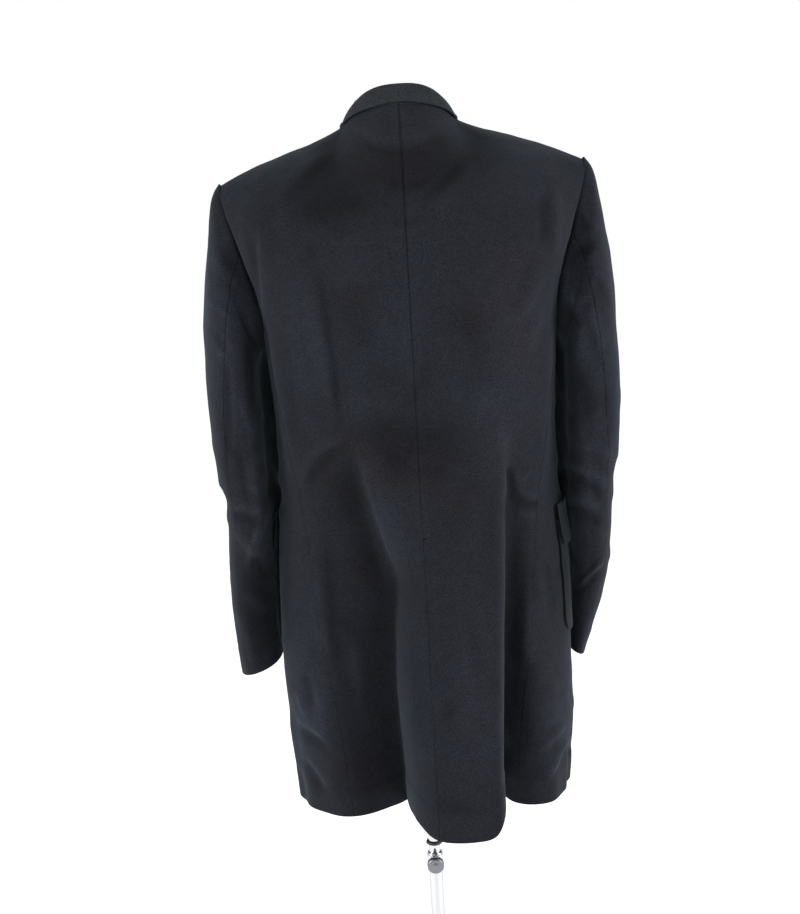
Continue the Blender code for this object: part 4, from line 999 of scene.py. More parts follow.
def brushed(name, lying, rubbed, patches=11.0, worn=0.30, sheen=0.12):
    """Brushed cotton in two tones."""
    made, tree, shader = finish(name, lying, 0.92)
    cover = add(tree, "ShaderNodeGroup", node_tree=nap)
    cover.inputs["Lying"].default_value = (*lying, 1.0)
    cover.inputs["Rubbed"].default_value = (*rubbed, 1.0)
    cover.inputs["Patches"].default_value = patches
    # How strongly the relief lightens ridges and darkens troughs: wear and painted shade
    cover.inputs["Wear And Shade"].default_value = worn
    tree.links.new(add(tree, "ShaderNodeTexCoord").outputs["Object"], cover.inputs["Place"])
    # The relief and shade attributes bring painted shade and painted light into the colour
    for key in ("Relief", "Shade", "Tone"):
        value = add(tree, "ShaderNodeAttribute", attribute_name=key.lower())
        tree.links.new(value.outputs["Fac"], cover.inputs[key])
    tree.links.new(cover.outputs["Colour"], shader.inputs["Base Color"])
    grained(tree, shader, cover.outputs["Height"], 0.40, 0.0006)
    shader.inputs["Specular IOR Level"].default_value = 0.10
    shader.inputs["Sheen Weight"].default_value = sheen
    shader.inputs["Sheen Roughness"].default_value = 0.40
    shader.inputs["Sheen Tint"].default_value = (0.60, 0.78, 0.90, 1.0)
    return made


COTTON = brushed("navy_cotton", (0.0128, 0.0148, 0.0205), (0.0130, 0.0129, 0.0168))

SEAM_SINK, SEAM_WIDE, WELT, WELT_AT, WELT_WIDE = 0.0003, 0.0014, 0.00015, 0.0065, 0.0025
HEM_PROUD, EDGE_SOFT, SEAM_DARK, SEAM_LINE, RIDGE = 0.0006, 0.0008, 0.38, 0.00048, 0.0030
PRESSED_LEAST, PRESSED_MORE, PRESSED_FROM, PRESSED_OVER = 0.30, 1.10, 0.95, 0.40


def closed_faces(rows, columns, corners):
    """Faces of an outer grid, the same grid within it, and the wall round their rims, turned outwards."""
    index = np.arange(rows * columns).reshape(rows, columns)
    quads = np.stack([index[:-1, :-1], index[:-1, 1:], index[1:, 1:], index[1:, :-1]], -1).reshape(-1, 4)
    rim = np.concatenate([index[0, :-1], index[:-1, -1], index[-1, :0:-1], index[:0:-1, 0]])
    after, count = np.roll(rim, -1), rows * columns
    walls = np.stack([rim, rim + count, after + count, after], -1)
    faces = np.concatenate([quads, quads[:, ::-1] + count, walls])
    a, b, c, d = (corners[faces[:, i]] for i in range(4))
    volume = (np.cross(b - a, c - a) * a).sum() + (np.cross(c - a, d - a) * a).sum()
    return (faces[:, ::-1] if volume < 0 else faces).tolist()


def garment(name, points, out, lift=0.0, thick=CLOTH, seams=("first", "last", "top"), free=("bottom",),
            made=COTTON, slot="navy_cotton", folds=True, hem=0.0, tucked=0):
    """Makes a cut piece: an outer and an inner face with soft edges, sunk along its seams."""
    ridge, rise = creased(points, out) if folds else (np.zeros(points.shape[:2]),) * 2
    near = edge_distance(points, ("first", "last", "bottom", "top"))
    # The seams are pressed sharper over the shoulders than in the long skirt
    sharp = PRESSED_LEAST + PRESSED_MORE * ease((points[..., 2] - PRESSED_FROM) / PRESSED_OVER)
    edge = 0.25 * sharp * thick * (1 - np.sqrt(1 - (1 - np.minimum(near / EDGE_SOFT, 1.0)) ** 2))
    shade, tone = nap_and_painted_shade(points, out)
    # The relief is drawn into the colour: darker in crease troughs and along seams as painted shade, lighter
    # on crease ridges and welts as worn nap and painted highlight, lighter at free edges as wear, and darker
    # along a hem's top and on the inner face
    relief = np.clip(ridge / RIDGE, -1.5, 1.5)
    sunk = 0.0
    if seams:
        close = edge_distance(points, seams, tucked)
        sunk = -SEAM_SINK * sharp * hump(close, SEAM_WIDE) + WELT * hump(close - WELT_AT, WELT_WIDE)
        # Painted shade along the seam, and painted highlight on the welt beside it
        relief = relief - 0.40 * sharp * hump(close, 0.0008) + 0.2 * hump(close - 0.006, 0.003)
        # Painted shade: the seam shows as a thin dark line where shade falls in it; low in the skirt and the
        # vent it is drawn a little lighter instead, painted light that lifts the shade of its groove
        seam_shade = 1.3 * ease((points[..., 2] - 0.93) / 0.08) - 0.3
        shade = shade * (1 - SEAM_DARK * seam_shade * hump(close, SEAM_LINE))
    if free:
        relief = relief + 0.5 * hump(edge_distance(points, free), 0.0016)
    if hem:
        turned_up = edge_distance(points, free[:1])
        sunk = sunk + HEM_PROUD * (1 - ease((turned_up - hem) / 0.004))
        relief = relief - 0.35 * hump(turned_up - hem, 0.003)
    surface = points + out * (rise + sunk)[..., None]
    lift = np.asarray(lift)[..., None] if np.ndim(lift) else lift
    wall = thick[..., None] if np.ndim(thick) else thick
    outer = surface + out * (lift - edge[..., None])
    inner = surface + out * (lift - wall + (0.0 if seams else edge[..., None]))
    corners = np.concatenate([outer.reshape(-1, 3), inner.reshape(-1, 3)])
    flat = np.stack([lengths(points, 1), lengths(points, 0)], -1).reshape(-1, 2)
    # The inner face's pattern lies 3 m above the outer one's
    flat = np.concatenate([flat, flat + (0.0, 3.0)])
    relief = np.concatenate([relief.ravel(), np.full(relief.size, -0.3)])
    shade, tone = np.tile(shade.ravel(), 2), np.tile(tone.ravel(), 2)
    faces = closed_faces(*points.shape[:2], corners)
    thing = mesh_of(name, corners, faces, flat, relief=relief, shade=shade, tone=tone)
    fixed(thing, made, "coat_form", slot, name)


PITCH = 0.0038
body_levels = np.concatenate([
    HEM + (YOKE - HEM) * places(YOKE - HEM, PITCH)[:-3], YOKE + TOP_SHARE * places(0.150, PITCH)[3:],
])
# The underlap takes up the first part of the right back. The grid is finer near the left one's edge
LAP_SPREAD = 0.16
LAP_AT = VENT_LAP / (1 + VENT_LAP / LAP_SPREAD)
HEM_DEEP, BODY_PRESSED, VENT_THINNED, VENT_PRESSED = 0.038, 70, 0.85, 0.020
shares = places(0.19, PITCH)
lap_lines = LAP_AT + np.array((-0.012, -0.007, -0.003, 0.0, 0.003, 0.007, 0.012))
shares = np.sort(np.concatenate([shares[np.abs(shares - LAP_AT) > 0.015], lap_lines]))


def reached(across):
    """Where a place of the right back lies below the vent's top: its edge runs on under the left back."""
    return across - VENT_LAP * np.clip(1 - across / LAP_SPREAD, 0, 1)


laid = []
for side, hand in SIDES.items():
    def lapped(across, level):
        in_vent = (level < VENT_TOP) & (hand < 0)
        return back_point(np.where(in_vent, reached(across), across), level, hand)

    points, out = panel_grid(lapped, body_levels, shares, hand)
    points = relaxed(points, BODY_PRESSED, YOKE - 0.01)
    laid.append((points, out))
    across, level = np.meshgrid(shares, body_levels)
    in_vent = level < VENT_TOP
    lift = -(LAYER + CLEAR) * (1 - ease((reached(across) + 0.0105) / 0.016)) * in_vent * (hand < 0)
    # The vent's upper edge is pressed thin
    pressed = 1 - VENT_THINNED * hump(across, VENT_PRESSED) * in_vent * (hand > 0)
    garment(f"back_{side}", points, out, lift=lift, thick=CLOTH * pressed, hem=HEM_DEEP)


# ---- Coat: side panels -----------------------------------------------------------------------------------
# A narrow panel under each arm, sewn to the back with a lapped seam that has two rows of stitches, and to
# the front just before the side.

def armhole_height(angle):
    reach = np.where(angle < 90, ARMHOLE_BACK, ARMHOLE_FRONT)
    return YOKE - (YOKE - ARMHOLE_BOTTOM) * np.sqrt(np.maximum(1 - ((angle - 90) / reach) ** 2, 0.0))


def side_angle(across, height):
    start = back_edge(np.minimum(height, SIDE_BACK_TOP))
    return start + (SIDE_FRONT_SEAM - start) * across


def side_point(across, level, hand):
    """A point of a side panel: across from the back seam to the front one, level from hem to armhole."""
    across, level = np.broadcast_arrays(np.asarray(across, float), np.asarray(level, float))
    top = np.full(across.shape, ARMHOLE_BOTTOM)
    # The seams lean, so the armhole's height over a place is closed in on step by step
    for _ in range(12):
        top = armhole_height(side_angle(across, top))
    height = HEM + (top - HEM) * level
    return skin(hand * side_angle(across, height), height)


THREAD = brushed("navy_thread", (0.0230, 0.0280, 0.0380), (0.0190, 0.0200, 0.0270), patches=60.0)
STITCH, STITCH_PITCH, STITCH_THICK = 0.0027, 0.0040, 0.00022


def spun(corners, faces, centres, sideways, upwards, radii, sides):
    """Adds one round thread: a ring of corners at each centre, walls between the rings, and two caps."""
    first, turns = len(corners), np.arange(sides) * math.tau / sides
    for centre, side, up, radius in zip(centres, sideways, upwards, radii):
        for turn in turns:
            corners.append(centre + (side * math.cos(turn) + up * math.sin(turn)) * radius)
    for row in range(first, len(corners) - sides, sides):
        for j in range(sides):
            n = (j + 1) % sides
            faces.append((row + j, row + n, row + sides + n, row + sides + j))
    faces.append(list(range(first + sides - 1, first - 1, -1)))
    faces.append(list(range(len(corners) - sides, len(corners))))


def sewn(name, corners, faces):
    """Makes one piece of all the threads that were added."""
    corners = np.array(corners)
    thing = faced_out(mesh_of(name, corners, faces, corners[:, :2], shade=np.ones(len(corners))))
    return fixed(thing, THREAD, "coat_form", "navy_cotton")


def stitched(name, paths, height=0.0001):
    """A row of stitches along each path of (points, directions out): short threads with tucked-in ends."""
    corners, faces = [], []
    parts, sink = np.array((-0.5, -0.25, 0.25, 0.5)) * STITCH, np.array((-0.0003, 0.0, 0.0, -0.0003))
    for points, out in paths:
        run = np.concatenate([[0.0], np.cumsum(np.linalg.norm(np.diff(points, axis=0), axis=1))])
        for start in np.arange(STITCH_PITCH, run[-1] - STITCH_PITCH, STITCH_PITCH):
            place = np.stack([np.interp(start + parts, run, points[:, k]) for k in range(3)], -1)
            up = unit(np.array([np.interp(start, run, out[:, k]) for k in range(3)]))
            side = unit(np.cross(up, place[-1] - place[0]))
            centres = place + up * (height + sink)[:, None]
            radii = STITCH_THICK * np.array((0.5, 1.0, 1.0, 0.5))
            spun(corners, faces, centres, [side] * 4, [up] * 4, radii, 5)
    return sewn(name, corners, faces)


def seam_path(point, levels, inset, facing):
    """A line on the finished cloth, a set distance in from a panel's first edge."""
    share = inset / np.linalg.norm(point(1.0, levels) - point(0.0, levels), axis=-1)
    here, out = on_panel(point, share, levels, facing)
    return here + out * creased(here, out)[1][:, None], out


SEAM_ROWS, VENT_ROW = (0.0022, 0.0064), 0.0070
side_stitches = []
for side, hand in SIDES.items():
    def panel(across, level):
        return side_point(across, level, hand)

    points, out = panel_grid(panel, places(0.62, PITCH), places(0.11, PITCH), hand)
    garment(f"side_{side}", points, out, hem=HEM_DEEP)
    levels = np.linspace(0.01, 0.985, 200)
    side_stitches += [seam_path(panel, levels, inset, hand) for inset in SEAM_ROWS]
stitched("side_seam_stitches", side_stitches)

vent_levels = np.linspace(HEM + 0.004, VENT_TOP, 150)
stitched("vent_stitches", [seam_path(back_point, vent_levels, VENT_ROW, 1)])


# ---- Coat: fronts ----------------------------------------------------------------------------------------
# Each front runs from the shoulder to the hem and turns back at the top as a lapel. The wearer's left laps
# over the right and carries three worked buttonholes.

OVERLAP, BREAK, FRONT_PRESSED = 6.2, 1.190, 20
UNDERLAP, UNDERLAP_ANGLE, UNDERLAP_TURN = 2 * LAYER + CLEAR + 3 * GAP, 164.0, 10.0
UNDERLAP_TOP, UNDERLAP_FADE = 1.250, 0.060


def roll_line(height):
    """Angle of the line where the lapel turns back. Below the break it is the front's edge."""
    edge = math.sin(math.radians(OVERLAP)) * along(COAT, "half", BREAK)
    rise = np.maximum(height - BREAK, 0.0) / (NECK_POINT - BREAK)
    x = -edge + (NECK_HALF + edge) * rise
    return 180.0 - np.degrees(np.arcsin(x / along(COAT, "half", height)))


def front_edge(height):
    below = height < armhole_height(SIDE_FRONT_SEAM)
    return np.where(below, SIDE_FRONT_SEAM, 90.0 + armhole_angle(height, ARMHOLE_FRONT))


def front_point(across, level, hand=1):
    """A point of a front, from the roll line to the armhole. The wearer's right goes under the left."""
    across, level = np.broadcast_arrays(np.asarray(across, float), np.asarray(level, float))

    def column(height):
        roll = roll_line(height)
        angle = roll + (front_edge(height) - roll) * across
        opening = 1 - ease((height - UNDERLAP_TOP) / UNDERLAP_FADE)
        under = UNDERLAP * ease((angle - UNDERLAP_ANGLE) / UNDERLAP_TURN) * opening * (hand < 0)
        return skin(hand * angle, height) - oval(COAT, hand * angle, height)[1] * under[..., None]

    mirror = np.array([hand, 1.0, 1.0])
    over = ease(across / 0.3)[..., None]
    arrive = np.array([0.25, 0.75, 0.45]) * (1 - over) + np.array([0.02, 1.0, 0.05]) * over
    end = shoulder_line(NECK_HALF + (SHOULDER_HALF - NECK_HALF) * across)
    return over_yoke(column, level, end * mirror, arrive * mirror)


front_shares = places(0.20, PITCH)
for side, hand in SIDES.items():
    points, out = panel_grid(lambda a, r: front_point(a, r, hand), body_levels, front_shares, -hand)
    points = relaxed(points, FRONT_PRESSED, YOKE - 0.01)
    laid.append((points, out))
    garment(f"front_{side}", points, out, seams=("last", "top"), free=("bottom", "first"), hem=HEM_DEEP)


# ---- Coat: patch pockets and flaps -----------------------------------------------------------------------
# A patch of the same cotton with rounded lower corners on each hip, sewn on 5 mm from its edge. The flap
# above it is sewn along its top and hangs free.

POCKET_REAR, POCKET_FORE, POCKET_LOW, POCKET_TOP = 86.0, 130.0, 0.812, 0.962
FLAP_LOW, FLAP_TOP, POCKET_WIDE = 0.928, 0.982, 0.135
POCKET_TURN = {"left": 0.0, "right": -21.0}
FLAP_SWELL, POCKET_SEAM, FINE_PITCH = 0.0022, 0.005, 0.003


def rounded(across, low, radius):
    """The height of a patch's lower edge, which turns up round its two corners."""
    inset = np.minimum(across, 1 - across) * POCKET_WIDE
    return low + radius - np.sqrt(np.maximum(radius**2 - np.maximum(radius - inset, 0.0) ** 2, 0.0))


pocket_stitches = []
for side, hand in SIDES.items():
    for name, low, top, radius, lift in (
        (f"pocket_{side}", POCKET_LOW, POCKET_TOP, 0.022, LAYER + CLEAR),
        (f"pocket_flap_{side}", FLAP_LOW, FLAP_TOP, 0.014, 2 * LAYER + CLEAR),
    ):
        def patch(across, level):
            bottom = rounded(np.clip(across, 0, 1), low, radius)
            height = bottom + (top - bottom) * level
            angle = POCKET_FORE + POCKET_TURN[side] + (POCKET_REAR - POCKET_FORE) * across
            return skin(hand * angle, height)

        is_flap = radius < 0.02
        up, aside = places(top - low, FINE_PITCH), places(POCKET_WIDE, FINE_PITCH)
        points, out = panel_grid(patch, up, aside, -hand)
        # The flap bells away from the pocket at its lower edge
        swell = FLAP_SWELL * (1 - ease(lengths(points, 0) / (top - low))) if is_flap else 0.0
        garment(
            name, points, out, lift=lift + swell, seams=("top",) if is_flap else (),
            free=("bottom", "first", "last"),
        )
        # Down one side, along the bottom and up the other
        run = np.concatenate([
            np.stack([np.full(40, 0.036), np.linspace(0.97, 0.16, 40)], -1),
            np.stack([np.linspace(0.036, 0.964, 60), np.full(60, 0.0)], -1),
            np.stack([np.full(40, 0.964), np.linspace(0.16, 0.97, 40)], -1),
        ])
        across, level = run[:, 0], np.maximum(run[:, 1], POCKET_SEAM / (top - low))
        here, outward = on_panel(patch, across, level, -hand)
        risen = creased(here, outward)[1] + lift + (FLAP_SWELL * (1 - ease(level)) if is_flap else 0.0)
        pocket_stitches.append((here + outward * risen[:, None], outward))
stitched("pocket_stitches", pocket_stitches)


# ---- Coat: lapels ----------------------------------------------------------------------------------------
# The turned-back top of each front, faced with the same cotton. It lies on the chest, stands off it a little
# and rolls at the front edge.

# Height of the roll line and of the lapel's outer edge, and how far across the front that edge lies
Lapel = namedtuple("Lapel", "inner outer across")
LAPEL = (
    Lapel(1.196, 1.194, 0.03),
    Lapel(1.235, 1.215, 0.13),
    Lapel(1.275, 1.245, 0.22),
    Lapel(1.315, 1.280, 0.30),
    Lapel(YOKE + 0.10, 1.318, 0.37),
    Lapel(YOKE + 0.30, YOKE + 0.06, 0.42),
    Lapel(YOKE + 0.46, YOKE + 0.26, 0.44),
)


def through(values, at):
    """A smooth curve through rows of values, at whole and part row numbers."""
    values = np.asarray(values, float)
    slopes = np.gradient(values, axis=0)
    i = np.clip(np.floor(at).astype(int), 0, len(values) - 2)
    t = np.asarray(at - i)
    t = t.reshape(t.shape + (1,) * (values.ndim - 1))
    return hermite(values[i], slopes[i], values[i + 1], slopes[i + 1], t)


def lapel_point(share, row, hand):
    """A point of a lapel on the front: share 0 is the roll line and 1 the lapel's outer edge."""
    row = np.clip(row, 0.0, len(LAPEL) - 1.0)
    inner, outer, across = (through([getattr(r, column) for r in LAPEL], row) for column in Lapel._fields)
    return front_point(across * share, inner + (outer - inner) * share, hand)


for side, hand in SIDES.items():
    rows = 0.02 + (len(LAPEL) - 1.02) * places(0.27, FINE_PITCH)
    points, out = panel_grid(lambda a, r: lapel_point(a, r, hand), rows, places(0.08, FINE_PITCH), -hand)
    wide = lengths(points, 1)
    # It stands a little off the chest at its outer edge, and rolls in at the turn
    stand_off = 0.0012 * ease(wide / 0.05) - 0.0010 * hump(wide, 0.005)
    garment(
        f"lapel_{side}", points, out, lift=LAYER + CLEAR + stand_off, seams=("top",),
        free=("last", "bottom", "first"),
    )


# ---- Coat: collar ----------------------------------------------------------------------------------------
# A leaf that folds over a stand sewn to the neck. Its cloth is the same cotton, fused to a firmer lining,
# so that it looks smoother and a little greener.

# Places of the fold, and where the leaf's edge lies on the back or the front, and how far off it
Leaf = namedtuple("Leaf", "fold_x fold_y fold_z side across up lift")
LEAF = (
    Leaf(0.0000, 0.0730, 1.5090, "back", 0.000, 0.990, 0.0052),
    Leaf(0.0200, 0.0705, 1.5078, "back", 0.090, 0.988, 0.0052),
    Leaf(0.0365, 0.0615, 1.5025, "back", 0.180, 0.980, 0.0050),
    Leaf(0.0480, 0.0430, 1.4935, "back", 0.258, 0.968, 0.0044),
    Leaf(0.0550, 0.0200, 1.4830, "back", 0.318, 0.962, 0.0044),
    Leaf(0.0580, 0.0000, 1.4750, "front", 0.045, 0.980, 0.0041),
    Leaf(0.0565, -0.0250, 1.4645, "front", 0.120, 0.865, 0.0032),
    Leaf(0.0525, -0.0500, 1.4505, "front", 0.215, 0.735, 0.0034),
    Leaf(0.0495, -0.0720, 1.4355, "front", 0.300, 0.600, 0.0036),
    Leaf(0.0470, -0.0900, 1.4210, "front", 0.350, 0.500, 0.0036),
)
COLLAR_CLOTH = brushed(
    "collar_cotton", (0.0212, 0.0252, 0.0292), (0.0189, 0.0200, 0.0225), patches=18.0, worn=0.16, sheen=0.14
)


def away(points):
    """Directions out from the neck's axis, level with the floor."""
    return unit(points * (1, 1, 0))


half = []
for leaf in LEAF:
    source, facing = (back_point, 1) if leaf.side == "back" else (front_point, -1)
    step, level = 0.01, YOKE + leaf.up
    here = source(leaf.across, level)
    out = unit(np.cross(here - source(leaf.across, level - step), source(leaf.across + step, level) - here))
    fold = np.array([leaf.fold_x, leaf.fold_y, leaf.fold_z])
    half.append((fold, here + out * facing * (leaf.lift + LAYER)))
half = np.array(half)
stations = np.concatenate([half[:0:-1] * (-1, 1, 1), half])
at = (len(stations) - 1) * places(0.36, FINE_PITCH)
fold, edge = through(stations[:, 0], at), through(stations[:, 1], at)
# Its edge is a little higher in the middle of the back, and it bends round above the fold
edge[:, 2] += 0.0018 * hump(edge[:, 0], 0.034) * (edge[:, 1] > 0)
bend = fold + away(fold) * 0.007 + (0.0, 0.0, 0.0015)
t = places(0.045, 0.0028)[None, :, None]
leaf_points = hung(fold[:, None] * (1 - t) ** 2 + bend[:, None] * 2 * t * (1 - t) + edge[:, None] * t * t)


def gridded(grid):
    """Directions out of a grid whose middle faces backwards."""
    out = unit(np.cross(np.gradient(grid, axis=0), np.gradient(grid, axis=1)))
    return out if out[out.shape[0] // 2, out.shape[1] // 2, 1] > 0 else -out


# Its edge lies down on the shoulders, and nothing of it sinks into them
collar_thick, COLLAR_CLEAR = CLOTH * 1.2, 0.0006
BED_LOW, BED_WIDE = 1.36, 0.17
bed = np.concatenate([points.reshape(-1, 3) for points, _ in laid])
bed_out = np.concatenate([out.reshape(-1, 3) for _, out in laid])
near = (bed[:, 2] > BED_LOW) & (np.abs(bed[:, 0] - HANG) < BED_WIDE)
bed, bed_out = bed[near], bed_out[near]


def settled(points, share):
    """Moves the leaf's outer part to just over its own thickness above the panels, most at its edge."""
    flat = points.reshape(-1, 3)
    nearest = np.concatenate([
        ((part[:, None] - bed) ** 2).sum(-1).argmin(1) for part in np.array_split(flat, 40)
    ])
    out = bed_out[nearest]
    over = ((flat - bed[nearest]) * out).sum(-1)
    short = (collar_thick + COLLAR_CLEAR - over).reshape(points.shape[:-1])
    move = short * np.where(short > 0, ease((share - 0.35) / 0.30), share**3)
    return points + out.reshape(points.shape) * move[..., None]


leaf_points = settled(leaf_points, t[..., 0])
garment(
    "collar_leaf", leaf_points, gridded(leaf_points), thick=collar_thick, seams=(),
    free=("last", "bottom", "top"), made=COLLAR_CLOTH, slot="collar_cotton", folds=False,
)


def neck_foot(fold):
    """Points of the neck seam under the collar's fold, just above and inside it."""
    turn = np.arctan2(np.abs(fold[:, 0]) / NECK_HALF, fold[:, 1] / NECK_BACK)
    behind = top_edge(NECK_SHARE * np.minimum(turn / (math.pi / 2), 0.999))
    before = front_point(np.zeros(len(fold)), YOKE + 1.0 + np.minimum(fold[:, 1], 0.0) * 5.6)
    seam = np.where((fold[:, 1] > 0)[:, None], behind, before)
    seam[:, 0] *= np.where(fold[:, 0] >= 0, 1.0, -1.0)
    inside = 0.0036 - 0.0016 * ease((np.abs(seam[:, :1]) - 0.030) / 0.020)
    return seam - away(seam) * inside - (0.0, 0.0, 0.0062)


foot = through(neck_foot(stations[:, 0]), at)[:, None]
top = (fold - (0.0, 0.0, collar_thick + 3 * GAP))[:, None]
t = places(0.025, FINE_PITCH)[None, :, None]
band = hung(foot + (top - foot) * t + away(top) * 0.001 * np.sin(math.pi * t))
garment(
    "collar_stand", band, gridded(band), seams=("first",), free=("last", "bottom", "top"),
    made=COLLAR_CLOTH, slot="collar_cotton", folds=False,
)


# ---- Coat: sleeves ---------------------------------------------------------------------------------------
# Two-piece sleeves, eased into the armhole and bent a little forward at the elbow. The narrower under piece
# lies against the body.

# Slanting ovals down the arm: outer and inner edge, half depth, how far it lies forward and leans in behind,
# and the angle of the rear seam
Ring = namedtuple("Ring", "outer_x outer_z inner_x inner_z depth forward lean back_seam")
SLEEVE_HEAD = (
    Ring(0.2375, 1.3880, 0.1905, 1.1930, 0.0570, 0.000, 0.000, 89.0),
    Ring(0.2435, 1.3560, 0.1925, 1.1860, 0.0630, 0.000, 0.006, 90.0),
    Ring(0.2500, 1.3120, 0.1940, 1.1760, 0.0690, 0.001, 0.014, 88.0),
    Ring(0.2560, 1.2620, 0.1945, 1.1600, 0.0730, 0.002, 0.022, 86.0),
    Ring(0.2605, 1.2000, 0.1945, 1.1360, 0.0750, 0.004, 0.028, 82.0),
    Ring(0.2625, 1.1300, 0.1940, 1.0980, 0.0740, 0.006, 0.030, 76.0),
    Ring(0.2590, 1.0500, 0.1945, 1.0380, 0.0700, 0.009, 0.028, 69.0),
    Ring(0.2500, 0.9830, 0.1940, 0.9800, 0.0660, 0.014, 0.024, 64.0),
)
SLEEVE_END = {
    "left": (
        Ring(0.2545, 0.9150, 0.1960, 0.9180, 0.0620, 0.022, 0.018, 63.0),
        Ring(0.2555, 0.8420, 0.1965, 0.8500, 0.0580, 0.032, 0.012, 64.0),
        Ring(0.2515, 0.7590, 0.1955, 0.7790, 0.0540, 0.042, 0.008, 66.0),
    ),
    "right": (
        Ring(0.2475, 0.9250, 0.1975, 0.9250, 0.0630, 0.022, 0.016, 61.0),
        Ring(0.2405, 0.8500, 0.1955, 0.8530, 0.0590, 0.042, 0.012, 60.0),
        Ring(0.2140, 0.7560, 0.1895, 0.7660, 0.0545, 0.066, 0.006, 62.0),
    ),
}
SLEEVE_FRONT_SEAM, ARMHOLE_TURN, SLEEVE_CORNER = 240.0, 72.0, 2.2
SLEEVE_PITCH, SLEEVE_LONG, SLEEVE_HEM = 0.0042, 0.62, 0.036
RING_LENGTHS = (0.040, 0.035, 0.035, 0.035, 0.045, 0.060, 0.070, 0.070, 0.068, 0.068, 0.075, 0.086)


def armhole_point(turn):
    """The armhole's edge by the sleeve's turn: 0 at the shoulder, 90 at the back, 180 under the arm."""
    turn = turn % 360.0
    behind = (turn <= 180.0)[..., None]
    share = np.where(turn <= 180.0, turn, 360.0 - turn)
    level = YOKE + TOP_SHARE * (1 - np.clip(share / ARMHOLE_TURN, 0, 1))
    edge = np.ones_like(level)
    above = np.where(behind, back_point(edge, level), front_point(edge, level))
    swing = 90.0 * np.clip((share - ARMHOLE_TURN) / (180.0 - ARMHOLE_TURN), 0, 1)
    height = YOKE - (YOKE - ARMHOLE_BOTTOM - 1e-5) * np.sin(np.radians(swing))
    reach = np.where(turn <= 180.0, ARMHOLE_BACK, ARMHOLE_FRONT)
    offset = armhole_angle(height, reach)
    below = skin(np.where(turn <= 180.0, 90.0 - offset, 90.0 + offset), height)
    return np.where((share < ARMHOLE_TURN)[..., None], above, below)


def ring_point(ring, turn):
    c, s = np.cos(np.radians(turn)), np.sin(np.radians(turn))
    stretch = (np.abs(s) ** SLEEVE_CORNER + np.abs(c) ** SLEEVE_CORNER) ** (-1 / SLEEVE_CORNER)
    across, along_y = c * stretch, s * stretch
    middle_x, middle_z = (ring.outer_x + ring.inner_x) / 2, (ring.outer_z + ring.inner_z) / 2
    return np.stack([
        middle_x + (ring.outer_x - ring.inner_x) / 2 * across - ring.lean * ease((0.2 - along_y) / 1.2),
        ring.depth * along_y - ring.forward,
        middle_z + (ring.outer_z - ring.inner_z) / 2 * across,
    ], -1)


def sleeve_point(rings, turn, row):
    """Row 0 is the armhole and each whole row a ring, with smooth rows between them."""
    turn, row = np.broadcast_arrays(turn, row)
    last = len(rings)
    head = armhole_point(turn) + (5 * GAP, 0.0, 0.0)
    nodes = np.stack([head] + [ring_point(ring, turn) for ring in rings])

    def node(i):
        return np.take_along_axis(nodes, np.clip(i, 0, last)[None, ..., None], axis=0)[0]

    i = np.clip(np.floor(row).astype(int), 0, last - 1)
    first, final = (i == 0)[..., None], (i + 2 > last)[..., None]
    leave = np.where(first, (node(i + 1) - node(i)) * 0.8, (node(i + 1) - node(i - 1)) / 2)
    arrive = np.where(final, node(i + 1) - node(i), (node(i + 2) - node(i)) / 2)
    return hermite(node(i), leave, node(i + 1), arrive, (row - i)[..., None])


for side, hand in SIDES.items():
    rings = SLEEVE_HEAD + SLEEVE_END[side]

    def back_seam(row):
        return np.interp(row, np.arange(len(rings) + 1), [80.0] + [ring.back_seam for ring in rings])

    def top_piece(across, row):
        turn = SLEEVE_FRONT_SEAM - 360 + (back_seam(row) + 360 - SLEEVE_FRONT_SEAM) * across
        return sleeve_point(rings, turn, row) * (hand, 1, 1)

    def under_piece(across, row):
        turn = back_seam(row) + (SLEEVE_FRONT_SEAM - back_seam(row)) * across
        return sleeve_point(rings, turn, row) * (hand, 1, 1)

    # The first rings are closer together than the others, so the rows are spaced by their length
    run = np.cumsum((0.0,) + RING_LENGTHS)[:len(rings) + 1]
    rows = np.interp(places(SLEEVE_LONG, SLEEVE_PITCH) * run[-1], run, np.arange(len(run)))
    for name, piece, wide in (
        (f"sleeve_top_{side}", top_piece, 0.26), (f"sleeve_under_{side}", under_piece, 0.19),
    ):
        points, out = panel_grid(piece, rows, places(wide, SLEEVE_PITCH), hand)
        # Two more rows are tucked into the armhole's seam
        inwards = unit(points[0] - points[3])
        for depth in (0.0035, 0.0070):
            tucked = points[0] if depth < 0.005 else points[1]
            tucked = tucked + inwards * depth - out[0] * 0.0012
            points, out = np.concatenate([tucked[None], points]), np.concatenate([out[:1], out])
        garment(
            name, points, out, seams=("first", "last", "bottom"), free=("top",), hem=SLEEVE_HEM, tucked=2
        )


# ---- Buttons and buttonholes -----------------------------------------------------------------------------
# Three four-hole buttons of dark horn, turned with a raised rim and sewn on with a cross of thread. Each
# holds a buttonhole that is worked in close stitches.

horn, horn_tree, horn_shader = finish("dark_horn", (0.020, 0.018, 0.017), 0.30)
horn_place = add(horn_tree, "ShaderNodeTexCoord").outputs["Object"]
veins = mottled(horn_tree, horn_place, 160.0, 4.0, Distortion=2.5)
veined = add(horn_tree, "ShaderNodeVectorMath", {
    0: (0.020, 0.017, 0.015), "Scale": spread(horn_tree, veins, 0.6, 2.6, 0.35, 0.68),
}, operation="SCALE")
horn_tree.links.new(veined.outputs["Vector"], horn_shader.inputs["Base Color"])
horn_shader.inputs["Coat Weight"].default_value = 0.3
horn_shader.inputs["Coat Roughness"].default_value = 0.15

